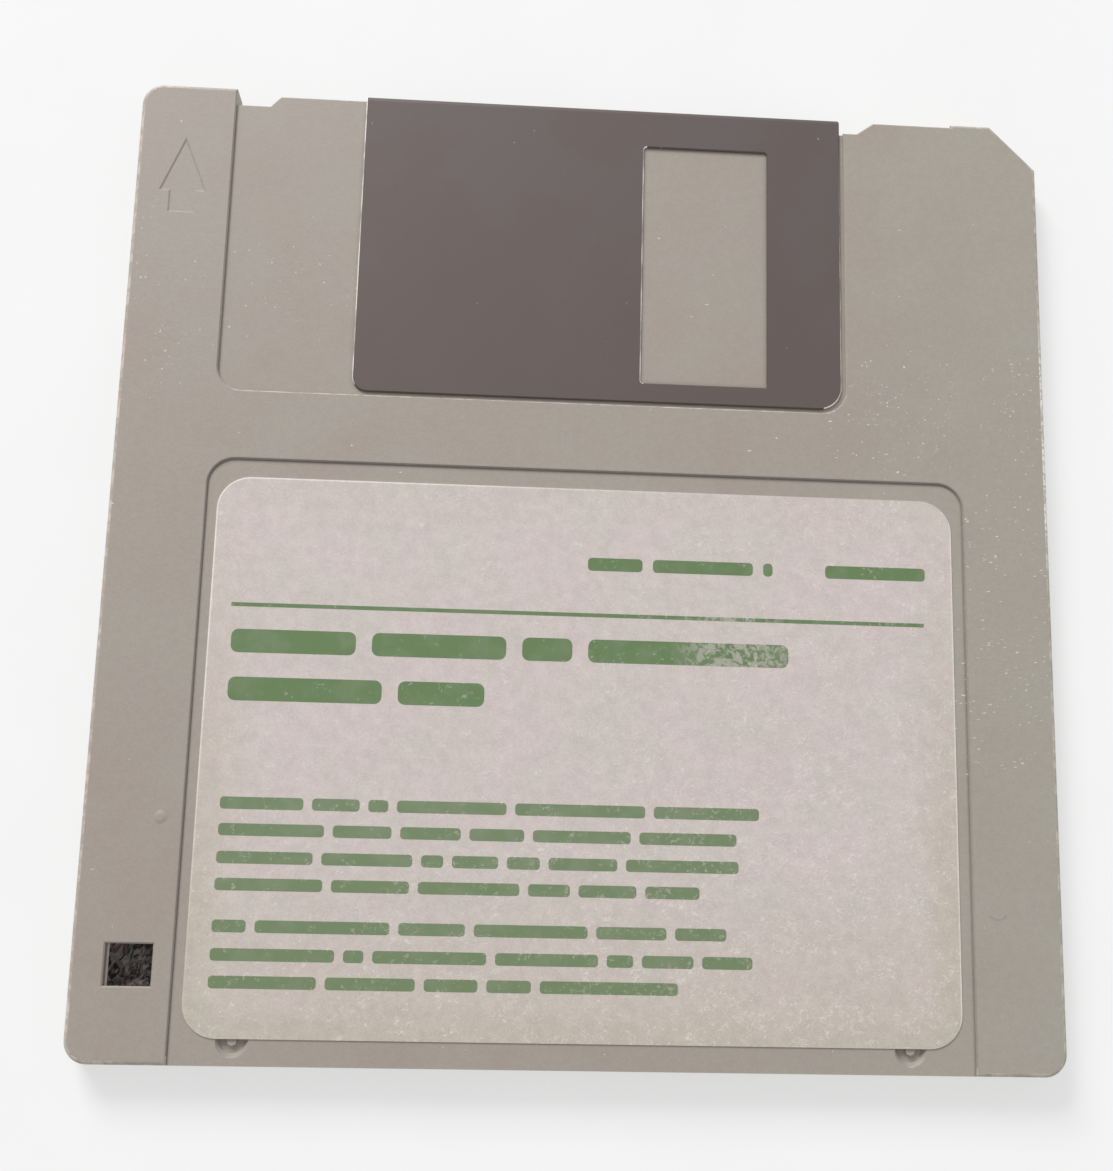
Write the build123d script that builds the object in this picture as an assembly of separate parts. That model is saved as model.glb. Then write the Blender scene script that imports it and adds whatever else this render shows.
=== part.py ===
"""3.5 inch floppy disk: two welded shells, a sprung metal shutter, film on a steel hub.

Sizes are in mm. X runs across the disk, Y toward the shutter edge, Z up to the label face.
The origin is under the middle of the case, on the hub face, which is the face it lies on.
"""

import math
import os

from build123d import *

# The film, and the walls round its room: together they make the case's 90 by 94 mm
FILM_D = 85.8
FILM_T = 0.08
FILM_GAP = 0.9
SIDE_T = 1.2
REAR_T = 2.2
LEAD_T = 4.2

# Case, the two shells together
CASE_W = FILM_D + 2 * (FILM_GAP + SIDE_T)
CASE_L = FILM_D + 2 * FILM_GAP + REAR_T + LEAD_T
CASE_T = 3.3
WALL_T = 0.95
CORNER_R = 2.1
CHAMFER = 4.6
EDGE_R = 0.4
HUB_FACE_EDGE = 0.3
RIM = 0.13
GROOVE_DEEP = 0.1
GROOVE_W = 0.16

# Ribs, head windows and hub opening
RIB_T = 1.0
HUB_LIFT = 0.15
HUB_GAP = 1.0
LIP_T = 0.9
RING_T = 0.9
WINDOW_W = 9.4
WINDOW_FROM_R = 19.45
WINDOW_RIM = 0.95
WINDOW_R = 0.8

# Pins that locate the shells on each other, and their sockets
PIN_R = 0.7
PIN_L = 0.5
PIN_CLEAR = 0.05
POST_R = 1.6
POST_SIDES = 8

# Hollow corners outside the round rib
POCKET_W = 31.0
POCKET_L = 28.0
CUT_POCKET_W = 21.0
CORNER_WALL = 1.8

# Leading edge: the notches at the ends of the shutter's track
NOTCH_DEEP = 1.6
NOTCH_W = 3.3
RIGHT_NOTCH_W = 2.0
NOTCH_WALL = 1.6
LEFT_RAMP = 1.0
RIGHT_RAMP = 1.7
NOSE_SET_BACK = 0.35
NOSE_W = 8.6

# Recess that the shutter slides in, the same on both faces
RECESS_LEFT = 9.2
RECESS_DEEP = 0.4
RECESS_BELOW = 2.95
RECESS_R = 2.4

# Shutter, folded from one strip of sheet
SHEET_T = 0.22
SHUTTER_LEFT = 22.0
SHUTTER_BAND = 7.43
SHUTTER_GAP = 0.4
SHUTTER_CLEAR = 0.06
SHUTTER_SUNK = 0.08
SHUTTER_FOLD_R = 0.5
SHUTTER_CORNER_R = 1.5
SHUTTER_RIGHT_R = 2.3
SHEET_RIM = 0.1
TRACK_CLEAR = 0.2
TRACK_SPARE = 1.65
PORT_W = 12.45
PORT_MARGIN = 0.6
PORT_LEAD_MARGIN = 1.0
PORT_R = 0.3
TAB_LEFT = 1.8
TAB_W = 4.0
TAB_L = 4.2
GUIDE_L = 1.9
TAB_CLEAR = 0.28
SLIT_END = 0.5

# Panel for the label, sunk in both faces, and the paper label
PANEL_LEFT = 9.05
PANEL_RIGHT = 8.5
PANEL_BRIDGE = 6.85
PANEL_DEEP = 0.25
PANEL_R = 2.5
BACK_PANEL_L = 9.0
LABEL_T = 0.1
LABEL_LEFT = 1.0
LABEL_RIGHT = 1.15
LABEL_TOP = 1.75
LABEL_REAR = 2.35
LABEL_R = 3.1

# Moulding gates in the label panel, arrow and pip on the left flank
GATE_R = 1.475
GATE_FLOOR_R = 1.05
GATE_DEEP = 0.5
GATE_REAR = 2.2
GATE_LEFT = 5.55
GATE_RIGHT = 6.0
STUB_R = 0.45
STUB_FOOT = 0.1
STUB_H = 0.4
ARROW_SIDE = 4.6
ARROW_INSET = 6.03
ARROW_HEAD_L = 5.12
ARROW_STEM_L = 2.25
ARROW_HEAD_W = 4.14
ARROW_STEM_W = 2.3
ARROW_DEEP = 0.1
ARROW_SLOPE = 30.0
PIP_SIDE = 7.0
PIP_REAR = 21.7
PIP_R = 0.65
PIP_TOP_R = 0.3
PIP_H = 0.08

# Write-protect hole and its slider
PROTECT_W = 4.2
PROTECT_L = 3.7
PROTECT_SIDE = 5.1
PROTECT_REAR = 6.75
SLOT_SPREAD = 0.35
SLIDER_W = 5.4
SLIDER_L = 5.2
SLIDER_TRAVEL = 4.1
SLIDER_SHY = 0.2
SLIDER_CLEAR = 0.1
SLIDER_LIFT = 0.05
GRIP_L = 4.1
GRIP_SUNK = 0.3
GRIP_CLEAR = 0.15
GRIP_FROM_TOP = 0.3
GRIP_GROOVES = 3
ARM_W = 0.35
ARM_SLIT = 0.3
ARM_END = 0.8

# Locating holes in the hub face: one round, one drawn out sideways
LOCATE_R = 1.8
LOCATE_DRAW = 0.4
LOCATE_SIDE = 5.0
LOCATE_REAR = 15.0
LOCATE_WALL = 1.2

# Steel hub, the film on it and what wipes the film
HUB_T = 0.3
HUB_BOSS_R = 12.5
HUB_FLANGE_W = 2.25
HUB_SUNK = 0.45
HUB_EDGE = 0.2
HUB_SQUARE = 4.0
HUB_SQUARE_R = 0.4
SLOT_W = 4.3
SLOT_L = 8.0
SLOT_R = 0.8
SLOT_AT = 9.5
FILM_HOLE_GAP = 0.2
GLUE_T = 0.05
GLUE_INNER_GAP = 0.35
GLUE_MARGIN = 0.15
GLUE_SIDES = 48
LINER_T = 0.2
LINER_GAP = 1.0
LINER_MARGIN = 0.7
LIFTER_W = 8.8
LIFTER_L = 23.8
LIFTER_OUT = 4.7
LIFTER_AHEAD = 1.0
LIFTER_R = 0.5
LIFTER_T = 0.2
PAD_R = 3.5
PAD_T = 0.25

# Spring wire
WIRE_R = 0.18
WIRE_CLEAR = 0.05
WIRE_SIDES = 6
KNUCKLE_R = 0.21
COIL_R = 1.9
COIL_GAP = 0.03
TAB_BITE = 0.4
COIL_SIDE = 11.2
COIL_INSET = 10.4

# Planes and lines that several pieces share
LEFT = -CASE_W / 2
RIGHT = CASE_W / 2
REAR = -CASE_L / 2
LEAD = CASE_L / 2
SEAM_Z = CASE_T / 2
FLOOR_Z = WALL_T
CEILING_Z = CASE_T - WALL_T
PANEL_Z = CASE_T - PANEL_DEEP
ROOM_R = FILM_D / 2 + FILM_GAP
HUB_Y = REAR + REAR_T + ROOM_R
NOSE_Y = LEAD - SHUTTER_SUNK
TRACK_Y = NOSE_Y - SHEET_T - TRACK_CLEAR
POCKET_Y = LEAD - NOTCH_DEEP - NOTCH_WALL
WINDOW_Y0 = HUB_Y + WINDOW_FROM_R
WINDOW_Y1 = HUB_Y + ROOM_R - WINDOW_RIM
RECESS_X = LEFT + RECESS_LEFT
RECESS_Y = WINDOW_Y0 - RECESS_BELOW
PANEL_TOP = RECESS_Y - PANEL_BRIDGE
# The shutter's port is as far right of the head windows as the shutter travels to open them.
TRAVEL = SHUTTER_LEFT - RECESS_LEFT - TRACK_SPARE
PORT_X0 = TRAVEL - PORT_W / 2
PORT_X1 = TRAVEL + PORT_W / 2
SHUTTER_X0 = LEFT + SHUTTER_LEFT
SHUTTER_X1 = PORT_X1 + SHUTTER_BAND
SHUTTER_Y0 = RECESS_Y + SHUTTER_GAP
TAB_X = SHUTTER_X0 + TAB_LEFT
GUIDE_X = (PORT_X1 + SHUTTER_X1 - TAB_W) / 2
HUB_HOLE_R = HUB_BOSS_R + HUB_GAP
LIP_R = HUB_HOLE_R + LIP_T
FILM_Z = SEAM_Z
FLANGE_Z = FILM_Z - GLUE_T - HUB_T
SLIDER_X = LEFT + PROTECT_SIDE
SLIDER_Y1 = REAR + PROTECT_REAR - SLIDER_SHY
SLIDER_Y0 = SLIDER_Y1 - SLIDER_L
GRIP_Y1 = SLIDER_Y1 - GRIP_FROM_TOP
GRIP_Y0 = GRIP_Y1 - GRIP_L
SPRING_CORNER = Vector(LEFT + SIDE_T, LEAD - CORNER_WALL)
# How far a cutting tool runs past what it cuts.
PAST = 1.0


def block(x0, x1, y0, y1, z0, z1):
    """A box between two corners."""
    size = Box(x1 - x0, y1 - y0, z1 - z0)
    return Pos((x0 + x1) / 2, (y0 + y1) / 2, (z0 + z1) / 2) * size


def rounded(x0, x1, y0, y1, radius, z0, z1):
    """A flat slab between two corners, its four upright edges rounded."""
    face = Pos((x0 + x1) / 2, (y0 + y1) / 2, z0) * RectangleRounded(x1 - x0, y1 - y0, radius)
    return extrude(face, z1 - z0)


def disc(radius, z0, z1, x=0.0, y=HUB_Y):
    """A round slab, over the hub's centre unless told otherwise."""
    return Pos(x, y, (z0 + z1) / 2) * Cylinder(radius, z1 - z0)


def post(radius, z0, z1, x, y):
    """An eight-sided post, socket or pin, as wide as a round one of that radius."""
    return extrude(Pos(x, y, z0) * RegularPolygon(radius, POST_SIDES), z1 - z0)


def mouth(outline):
    """What breaks the sharp edge where an outline is cut into the label face: a narrow slope."""
    return extrude(Pos(0, 0, CASE_T - RIM) * outline, 2 * RIM, taper=-45)


def sunk(x0, x1, y0, y1, radius, deep):
    """A recess in the label face between two corners, with rounded corners and a sloped rim."""
    outline = Pos((x0 + x1) / 2, (y0 + y1) / 2) * RectangleRounded(x1 - x0, y1 - y0, radius)
    return extrude(Pos(0, 0, CASE_T - deep) * outline, deep + PAST) + mouth(outline)


def prism(points, z0, z1):
    """A slab whose outline is a closed row of points."""
    face = Pos(0, 0, z0) * make_face(Polyline(*points, close=True))
    return extrude(face, z1 - z0)


def lead_edge():
    """What the leading edge leaves out: the shutter's track and a notch at each end of it."""
    out = LEAD + PAST
    floor = LEAD - NOTCH_DEEP
    left_ramp = RECESS_X + NOTCH_W
    right_notch = SHUTTER_X1 - SHUTTER_GAP / 2
    right_ramp = right_notch + RIGHT_NOTCH_W
    points = [
        (RECESS_X, out),
        (RECESS_X, floor),
        (left_ramp, floor),
        (left_ramp + LEFT_RAMP, TRACK_Y),
        (right_notch, TRACK_Y),
        (right_notch, floor),
        (right_ramp, floor),
        (right_ramp + RIGHT_RAMP, LEAD - NOSE_SET_BACK),
        (RIGHT - NOSE_W, LEAD - NOSE_SET_BACK),
        (RIGHT - NOSE_W, out),
    ]
    outline = make_face(Polyline(*points, close=True))
    # The sharp edges that this leaves are broken, on both faces and on the recess's two floors.
    slope = mouth(outline)
    sides = (RECESS_X, SHUTTER_X1 + SHUTTER_GAP)
    slope = slope + (Pos(0, 0, -RECESS_DEEP) * slope & block(*sides, RECESS_Y, out, 0, CASE_T))
    slopes = slope + mirror(slope, Plane.XY.offset(SEAM_Z))
    return extrude(Pos(0, 0, -PAST) * outline, CASE_T + 2 * PAST) + slopes


def case_outline():
    """The case seen from above: three corners rounded and the fourth cut off."""
    outline = RectangleRounded(CASE_W, CASE_L, CORNER_R)
    corner = Polyline(
        (RIGHT - CHAMFER, LEAD),
        (RIGHT, LEAD - CHAMFER),
        (RIGHT + PAST, LEAD - CHAMFER),
        (RIGHT + PAST, LEAD + PAST),
        (RIGHT - CHAMFER, LEAD + PAST),
        close=True,
    )
    return outline - make_face(corner)


def case_outside():
    """The whole case as one block, with everything that is cut into its outside."""
    outline = case_outline()
    case = extrude(outline, CASE_T)
    case = fillet(case.faces().sort_by(Axis.Z)[-1].edges(), EDGE_R)
    case = chamfer(case.faces().sort_by(Axis.Z)[0].edges(), HUB_FACE_EDGE)
    band = extrude(outline, GROOVE_W) - extrude(offset(outline, amount=-GROOVE_DEEP), GROOVE_W)
    case = case - Pos(0, 0, SEAM_Z - GROOVE_W / 2) * band
    case = case - lead_edge()
    # The shutter's recess and a label panel are sunk in the label face and in the hub face.
    sides = (RECESS_X, SHUTTER_X1 + SHUTTER_GAP)
    recess = sunk(*sides, RECESS_Y, LEAD + RECESS_R + PAST, RECESS_R, RECESS_DEEP)
    sides = (LEFT + PANEL_LEFT, RIGHT - PANEL_RIGHT)
    beyond = REAR - PANEL_R - PAST
    panel = sunk(*sides, beyond, PANEL_TOP, PANEL_R, PANEL_DEEP)
    back_panel = sunk(*sides, beyond, REAR + BACK_PANEL_L, PANEL_R, PANEL_DEEP)
    middle = Plane.XY.offset(SEAM_Z)
    case = case - recess - panel - mirror(recess, middle) - mirror(back_panel, middle)
    hole = Pos(SLIDER_X, REAR + PROTECT_REAR + PROTECT_L / 2)
    case = case - mouth(hole * Rectangle(PROTECT_W, PROTECT_L))
    return case - head_window(0.0, -PAST, CASE_T + PAST) - arrow()


def head_window(margin, z0, z1):
    """The opening that a head reaches the film through, widened all round by a margin."""
    half = WINDOW_W / 2 + margin
    return rounded(-half, half, WINDOW_Y0 - margin, WINDOW_Y1 + margin, WINDOW_R, z0, z1)


def arrow():
    """The shallow arrow in the label face, sloping at its sides, that shows which edge leads."""
    x = LEFT + ARROW_SIDE
    tip = LEAD - ARROW_INSET
    neck = tip - ARROW_HEAD_L
    foot = neck - ARROW_STEM_L
    head = ARROW_HEAD_W / 2
    stem = ARROW_STEM_W / 2
    right_side = [(x, tip), (x + head, neck), (x + stem, neck), (x + stem, foot)]
    left_side = [(x - stem, foot), (x - stem, neck), (x - head, neck)]
    face = make_face(Polyline(*right_side, *left_side, close=True))
    return extrude(Pos(0, 0, CASE_T - ARROW_DEEP) * face, 2 * ARROW_DEEP, taper=ARROW_SLOPE - 90)


def posts():
    """Where the posts stand that the two shells are pinned and welded together at."""
    return [
        (LEFT + 3.2, LEAD - 22.5),
        (RIGHT - 3.2, LEAD - 22.5),
        (RIGHT - 9.5, LEAD - 6.2),
        (RIGHT - 3.4, REAR + 4.0),
        (RIGHT - 13.5, REAR + 3.6),
        (LEFT + 13.5, REAR + 3.6),
    ]


def corner_pockets():
    """The hollows in the case's corners, outside the round rib of the film chamber."""
    lo = FLOOR_Z
    hi = CEILING_Z
    inner_left = LEFT + SIDE_T
    inner_right = RIGHT - SIDE_T
    inner_rear = REAR + SIDE_T
    # The spring's pocket reaches furthest into the corner, where one leg lodges.
    inner_lead = LEAD - CORNER_WALL
    pockets = block(inner_left, LEFT + POCKET_W, LEAD - POCKET_L, POCKET_Y, lo, hi)
    nook = block(inner_left, RECESS_X - NOTCH_WALL, LEAD - POCKET_L, inner_lead, lo, hi)
    pockets = pockets + nook
    # The cut corner's pocket keeps its wall along the cut.
    cut = LEAD - CHAMFER - math.sqrt(2) * SIDE_T
    across = [(RIGHT - LEAD + cut, LEAD), (RIGHT, cut), (RIGHT, LEAD)]
    start = RIGHT - CUT_POCKET_W
    pockets = pockets + block(start, inner_right, LEAD - POCKET_L, POCKET_Y, lo, hi)
    pockets = pockets - prism(across, lo - PAST, hi + PAST)
    # The two rear corners; the left one stops short of the write-protect slider.
    start = RIGHT - POCKET_W
    pockets = pockets + block(start, inner_right, inner_rear, REAR + POCKET_L, lo, hi)
    start = SLIDER_X + SLIDER_W / 2 + SLIDER_CLEAR + RIB_T
    pockets = pockets + block(start, LEFT + POCKET_W, inner_rear, REAR + POCKET_L, lo, hi)
    pockets = pockets - disc(ROOM_R + RIB_T, lo - PAST, hi + PAST)
    for x, y in posts():
        pockets = pockets - post(POST_R, lo - PAST, hi + PAST, x, y)
    wall_r = LOCATE_R + LOCATE_WALL
    y = REAR + LOCATE_REAR
    return pockets - disc(wall_r, lo - PAST, hi + PAST, RIGHT - LOCATE_SIDE, y)


def tab_slits():
    """The two slits at the seam that the shutter's inward tabs run in."""
    half = SHEET_T / 2 + TAB_CLEAR
    z = (SEAM_Z - half, SEAM_Z + half)
    slits = None
    for x, foot in ((TAB_X, POCKET_Y - SLIT_END), (GUIDE_X, NOSE_Y - GUIDE_L - SLIT_END)):
        start = x - TRAVEL - SLIT_END
        slit = block(start, x + TAB_W + SLIT_END, foot, LEAD + PAST, *z)
        slits = slit if slits is None else slits + slit
    return slits


def slider_room():
    """The write-protect slider's pocket, its slot in the hub face and the hole over it."""
    half = SLIDER_W / 2 + SLIDER_CLEAR
    ends = (SLIDER_Y0 - GRIP_CLEAR, SLIDER_Y1 + SLIDER_TRAVEL + GRIP_CLEAR)
    room = block(SLIDER_X - half, SLIDER_X + half, *ends, FLOOR_Z, CEILING_Z)
    half = PROTECT_W / 2
    sides = (SLIDER_X - half, SLIDER_X + half)
    foot = REAR + PROTECT_REAR
    hole = block(*sides, foot, foot + PROTECT_L, SEAM_Z, CASE_T + PAST)
    # The grip's slot is a little wider than the hole.
    half = half + SLOT_SPREAD
    sides = (SLIDER_X - half, SLIDER_X + half)
    ends = (GRIP_Y0 - GRIP_CLEAR, GRIP_Y1 + SLIDER_TRAVEL + SLIDER_CLEAR)
    slot = block(*sides, *ends, -PAST, SEAM_Z)
    return room + hole + slot


def case_inside():
    """Everything that is hollow between the shells."""
    return corner_pockets() + disc(ROOM_R, FLOOR_Z, CEILING_Z) + slider_room() + tab_slits()


def make_front_shell(outside, inside):
    """The label side: the upper half, with the ring that keeps the hub near its centre."""
    half = block(LEFT - PAST, RIGHT + PAST, REAR - PAST, LEAD + PAST, SEAM_Z, CASE_T + PAST)
    shell = (outside & half) - inside
    ring_r = HUB_BOSS_R - HUB_T - HUB_GAP
    ring_foot = FLANGE_Z + HUB_LIFT
    shell = shell + disc(ring_r, ring_foot, CEILING_Z) - disc(ring_r - RING_T, ring_foot, CEILING_Z)
    for x, y in posts():
        shell = shell + post(PIN_R, SEAM_Z - PIN_L, SEAM_Z + PIN_L, x, y)
    y = REAR + GATE_REAR
    floor = PANEL_Z - GATE_DEEP
    for x in (LEFT + PANEL_LEFT + GATE_LEFT, RIGHT - PANEL_RIGHT - GATE_RIGHT):
        dimple = Cone(GATE_FLOOR_R, GATE_R, GATE_DEEP)
        shell = shell - Pos(x, y, PANEL_Z - GATE_DEEP / 2) * dimple
        shell = shell + post(STUB_R, floor - STUB_FOOT, floor + STUB_H, x, y)
    return shell + pip()


def pip():
    """The small raised pip on the left flank, with sloping sides."""
    foot = Pos(LEFT + PIP_SIDE, REAR + PIP_REAR, CASE_T + PIP_H / 2)
    return foot * Cone(PIP_R, PIP_TOP_R, PIP_H)


def make_back_shell(outside, inside):
    """The hub side: the lower half, with the hub's opening and the two locating holes."""
    half = block(LEFT - PAST, RIGHT + PAST, REAR - PAST, LEAD + PAST, -PAST, SEAM_Z)
    shell = (outside & half) - inside
    shell = shell + disc(LIP_R, FLOOR_Z / 2, FLANGE_Z - HUB_LIFT)
    shell = shell - disc(HUB_HOLE_R, -PAST, SEAM_Z)
    for x, y in posts():
        shell = shell - post(PIN_R + PIN_CLEAR, SEAM_Z - PIN_L - PIN_CLEAR, SEAM_Z + PAST, x, y)
    y = REAR + LOCATE_REAR
    shell = shell - disc(LOCATE_R, -PAST, SEAM_Z + PAST, RIGHT - LOCATE_SIDE, y)
    slot = SlotOverall(2 * (LOCATE_R + LOCATE_DRAW), 2 * LOCATE_R)
    shell = shell - extrude(Pos(LEFT + LOCATE_SIDE, y, -PAST) * slot, SEAM_Z + 2 * PAST)
    bed = lifter_outline(SLIDER_CLEAR, FLOOR_Z - LIFTER_T, FLOOR_Z + LINER_T)
    return shell - bed


def lifter_outline(margin, z0, z1):
    """The lifter's place beside the hub, ahead of the head window, grown by a margin."""
    x = LIP_R + LINER_GAP + LIFTER_OUT
    y = HUB_Y + LIFTER_AHEAD - LIFTER_L / 2
    ends = (y - margin, y + LIFTER_L + margin)
    return rounded(x - margin, x + LIFTER_W + margin, *ends, LIFTER_R, z0, z1)


def make_shutter():
    """The U of sheet metal over the leading edge, with two tabs bent in from its spine."""
    low = RECESS_DEEP - SHUTTER_CLEAR - SHEET_T
    high = CASE_T - low
    body = block(SHUTTER_X0, SHUTTER_X1, SHUTTER_Y0, NOSE_Y, low, high)
    body = fillet(body.edges().filter_by(Axis.X).group_by(Axis.Y)[-1], SHUTTER_FOLD_R)
    back = SHUTTER_Y0 - PAST
    sides = (SHUTTER_X0 - PAST, SHUTTER_X1 + PAST)
    inner = block(*sides, back, NOSE_Y - SHEET_T, low + SHEET_T, high - SHEET_T)
    folds = inner.edges().filter_by(Axis.X).group_by(Axis.Y)[-1]
    shutter = body - fillet(folds, SHUTTER_FOLD_R - SHEET_T)
    # Each leaf has a port for the heads and two rounded corners.
    ends = (WINDOW_Y0 - PORT_MARGIN, WINDOW_Y1 + PORT_LEAD_MARGIN)
    shutter = shutter - rounded(PORT_X0, PORT_X1, *ends, PORT_R, -PAST, CASE_T + PAST)
    left_corner = (SHUTTER_X0, SHUTTER_CORNER_R, 1)
    right_corner = (SHUTTER_X1, SHUTTER_RIGHT_R, -1)
    for x, radius, inward in (left_corner, right_corner):
        centre = x + inward * radius
        x0 = min(x, centre)
        x1 = max(x, centre)
        corner = block(x0, x1, SHUTTER_Y0, SHUTTER_Y0 + radius, 0, CASE_T)
        corner = corner - disc(radius, 0, CASE_T, centre, SHUTTER_Y0 + radius)
        shutter = shutter - corner
    shutter = roll_over(shutter, low, high)
    # The spring's tab is cut out of the hub-side leaf and bent in at the middle of the spine.
    # The guide's tab is short enough to come out of the spine alone.
    tab_lo = SEAM_Z - SHEET_T / 2
    tab_hi = SEAM_Z + SHEET_T / 2
    cut_from = NOSE_Y - TAB_L + tab_lo - low
    shutter = shutter - block(TAB_X, TAB_X + TAB_W, cut_from, LEAD, 0, tab_lo)
    spine = (NOSE_Y - SHEET_T, LEAD)
    shutter = shutter - block(GUIDE_X, GUIDE_X + TAB_W, *spine, low + SHUTTER_FOLD_R, tab_lo)
    for x, length in ((TAB_X, TAB_L), (GUIDE_X, GUIDE_L)):
        shutter = shutter + block(x, x + TAB_W, NOSE_Y - length, NOSE_Y - SHEET_T / 2, tab_lo, tab_hi)
    return shutter


def roll_over(shutter, low, high):
    """The shutter with the outer edges of its blank rolled over a little, as blanking does."""
    spine = shutter.faces().filter_by(Axis.Y).sort_by(Axis.Y)[-1]
    leaves = [
        shutter.faces().filter_by(Axis.Z).sort_by(Axis.Z)[end]
        for end in (0, -1)
    ]
    folds = [
        face
        for face in shutter.faces().filter_by(GeomType.CYLINDER)
        if abs(face.radius - SHUTTER_FOLD_R) < SHUTTER_FOLD_R / 10
    ]
    seen = [edge for face in [spine, *leaves, *folds] for edge in face.edges()]
    rims = [edge for edge in seen if sum(edge.is_same(other) for other in seen) == 1]
    return chamfer(rims, SHEET_RIM)


def make_spring():
    """The hairpin spring: one leg in the case's corner, the other against the shutter's tab."""
    reach = WIRE_R + WIRE_CLEAR
    low = FLOOR_Z + reach
    high = CEILING_Z - reach
    centre = Vector(LEFT + COIL_SIDE, LEAD - COIL_INSET)
    corner = SPRING_CORNER + Vector(reach, -reach)
    push = Vector(TAB_X - reach, NOSE_Y - TAB_L + TAB_BITE)
    start = leaving_angle(centre, corner, -1)
    end = leaving_angle(centre, push, 1)
    part_turn = ((end - start) % 360) / 360
    whole_turns = int((high - low) / (2 * WIRE_R + COIL_GAP) - part_turn)
    turns = whole_turns + part_turn
    coil = Helix((high - low) / turns, high - low, COIL_R)
    coil = Pos(centre.X, centre.Y, low) * Rot(0, 0, start) * coil
    section = RegularPolygon(WIRE_R, WIRE_SIDES)
    spring = sweep(Plane(origin=coil @ 0, z_dir=coil % 0) * section, path=coil, is_frenet=True)
    for at, target, z in ((0, corner, low), (1, push, high)):
        root = coil @ at
        leg = Vector(target.X, target.Y, z) - root
        spring = spring + extrude(Plane(origin=root, z_dir=leg) * section, leg.length)
        # A knuckle, hardly thicker than the wire, where the leg runs into the coil.
        knuckle = Pos(root.X, root.Y, root.Z - WIRE_R) * RegularPolygon(KNUCKLE_R, WIRE_SIDES)
        spring = spring + extrude(knuckle, 2 * WIRE_R)
    return spring


def leaving_angle(centre, target, side):
    """Where, in degrees round the coil, a straight leg to the target leaves it."""
    way = target - centre
    bearing = math.degrees(math.atan2(way.Y, way.X))
    return bearing + side * math.degrees(math.acos(COIL_R / way.length))


def make_slider():
    """The write-protect slider: a plate in its pocket and a grip that shows in the hub face."""
    half = SLIDER_W / 2
    sides = (SLIDER_X - half, SLIDER_X + half)
    slider = block(*sides, SLIDER_Y0, SLIDER_Y1, FLOOR_Z + SLIDER_LIFT, CEILING_Z - SLIDER_LIFT)
    half = PROTECT_W / 2 + SLOT_SPREAD - GRIP_CLEAR
    sides = (SLIDER_X - half, SLIDER_X + half)
    slider = slider + block(*sides, GRIP_Y0, GRIP_Y1, GRIP_SUNK, FLOOR_Z + 2 * SLIDER_LIFT)
    # Grooves for a fingernail, and a slit that lets one side of the plate spring.
    pitch = GRIP_L / GRIP_GROOVES
    for step in range(GRIP_GROOVES):
        y = GRIP_Y1 - pitch * (0.5 + step)
        groove = block(*sides, y - pitch / 4, y + pitch / 4, 0, 2 * GRIP_SUNK)
        slider = slider - groove
    x = SLIDER_X - SLIDER_W / 2 + ARM_W
    return slider - block(x, x + ARM_SLIT, SLIDER_Y0 + ARM_END, SLIDER_Y1 - ARM_END, 0, CASE_T)


def make_hub():
    """The stamped steel hub: a shallow cup with a flange, a square hole and a drive slot."""
    top = FLANGE_Z + HUB_T
    hub = disc(HUB_BOSS_R, HUB_SUNK, top) + disc(HUB_BOSS_R + HUB_FLANGE_W, FLANGE_Z, top)
    hub = hub - disc(HUB_BOSS_R - HUB_T, HUB_SUNK + HUB_T, top)
    hub = chamfer(hub.faces().sort_by(Axis.Z)[0].edges(), HUB_EDGE)
    half = HUB_SQUARE / 2
    hub = hub - rounded(-half, half, HUB_Y - half, HUB_Y + half, HUB_SQUARE_R, 0, top)
    sides = (SLOT_AT - SLOT_W / 2, SLOT_AT + SLOT_W / 2)
    half = SLOT_L / 2
    return hub - rounded(*sides, HUB_Y - half, HUB_Y + half, SLOT_R, 0, FLANGE_Z)


def make_film():
    """The coated polyester disc."""
    film = disc(FILM_D / 2, FILM_Z, FILM_Z + FILM_T)
    return film - disc(HUB_BOSS_R + FILM_HOLE_GAP, FILM_Z, FILM_Z + FILM_T)


def make_glue():
    """The adhesive ring, round in 48 short steps, that holds the film on the hub's flange."""
    outer = RegularPolygon(HUB_BOSS_R + HUB_FLANGE_W - GLUE_MARGIN, GLUE_SIDES)
    inner = RegularPolygon(HUB_BOSS_R + GLUE_INNER_GAP, GLUE_SIDES)
    return extrude(Pos(0, HUB_Y, FILM_Z - GLUE_T) * (outer - inner), GLUE_T)


def make_liner(z0):
    """A ring of wiping fabric, open where the heads reach the film."""
    z1 = z0 + LINER_T
    ring = disc(FILM_D / 2, z0, z1) - disc(LIP_R + LINER_GAP, z0, z1)
    notch = head_window(LINER_MARGIN, z0, z1)
    return ring - notch - Pos(0, 2 * WINDOW_R) * notch


def make_lifter():
    """The plastic leaf under the hub-side liner that presses it on the film."""
    return lifter_outline(0.0, FLOOR_Z - LIFTER_T, FLOOR_Z)


def make_label():
    """The paper label, stuck in its panel on the face."""
    left = LEFT + PANEL_LEFT + LABEL_LEFT
    right = RIGHT - PANEL_RIGHT - LABEL_RIGHT
    top = PANEL_TOP - LABEL_TOP
    return rounded(left, right, REAR + LABEL_REAR, top, LABEL_R, PANEL_Z, PANEL_Z + LABEL_T)


def make_wear_pad():
    """The small wear disc on the front shell, over the hub's square hole."""
    return disc(PAD_R, CEILING_Z - PAD_T, CEILING_Z)


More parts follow.
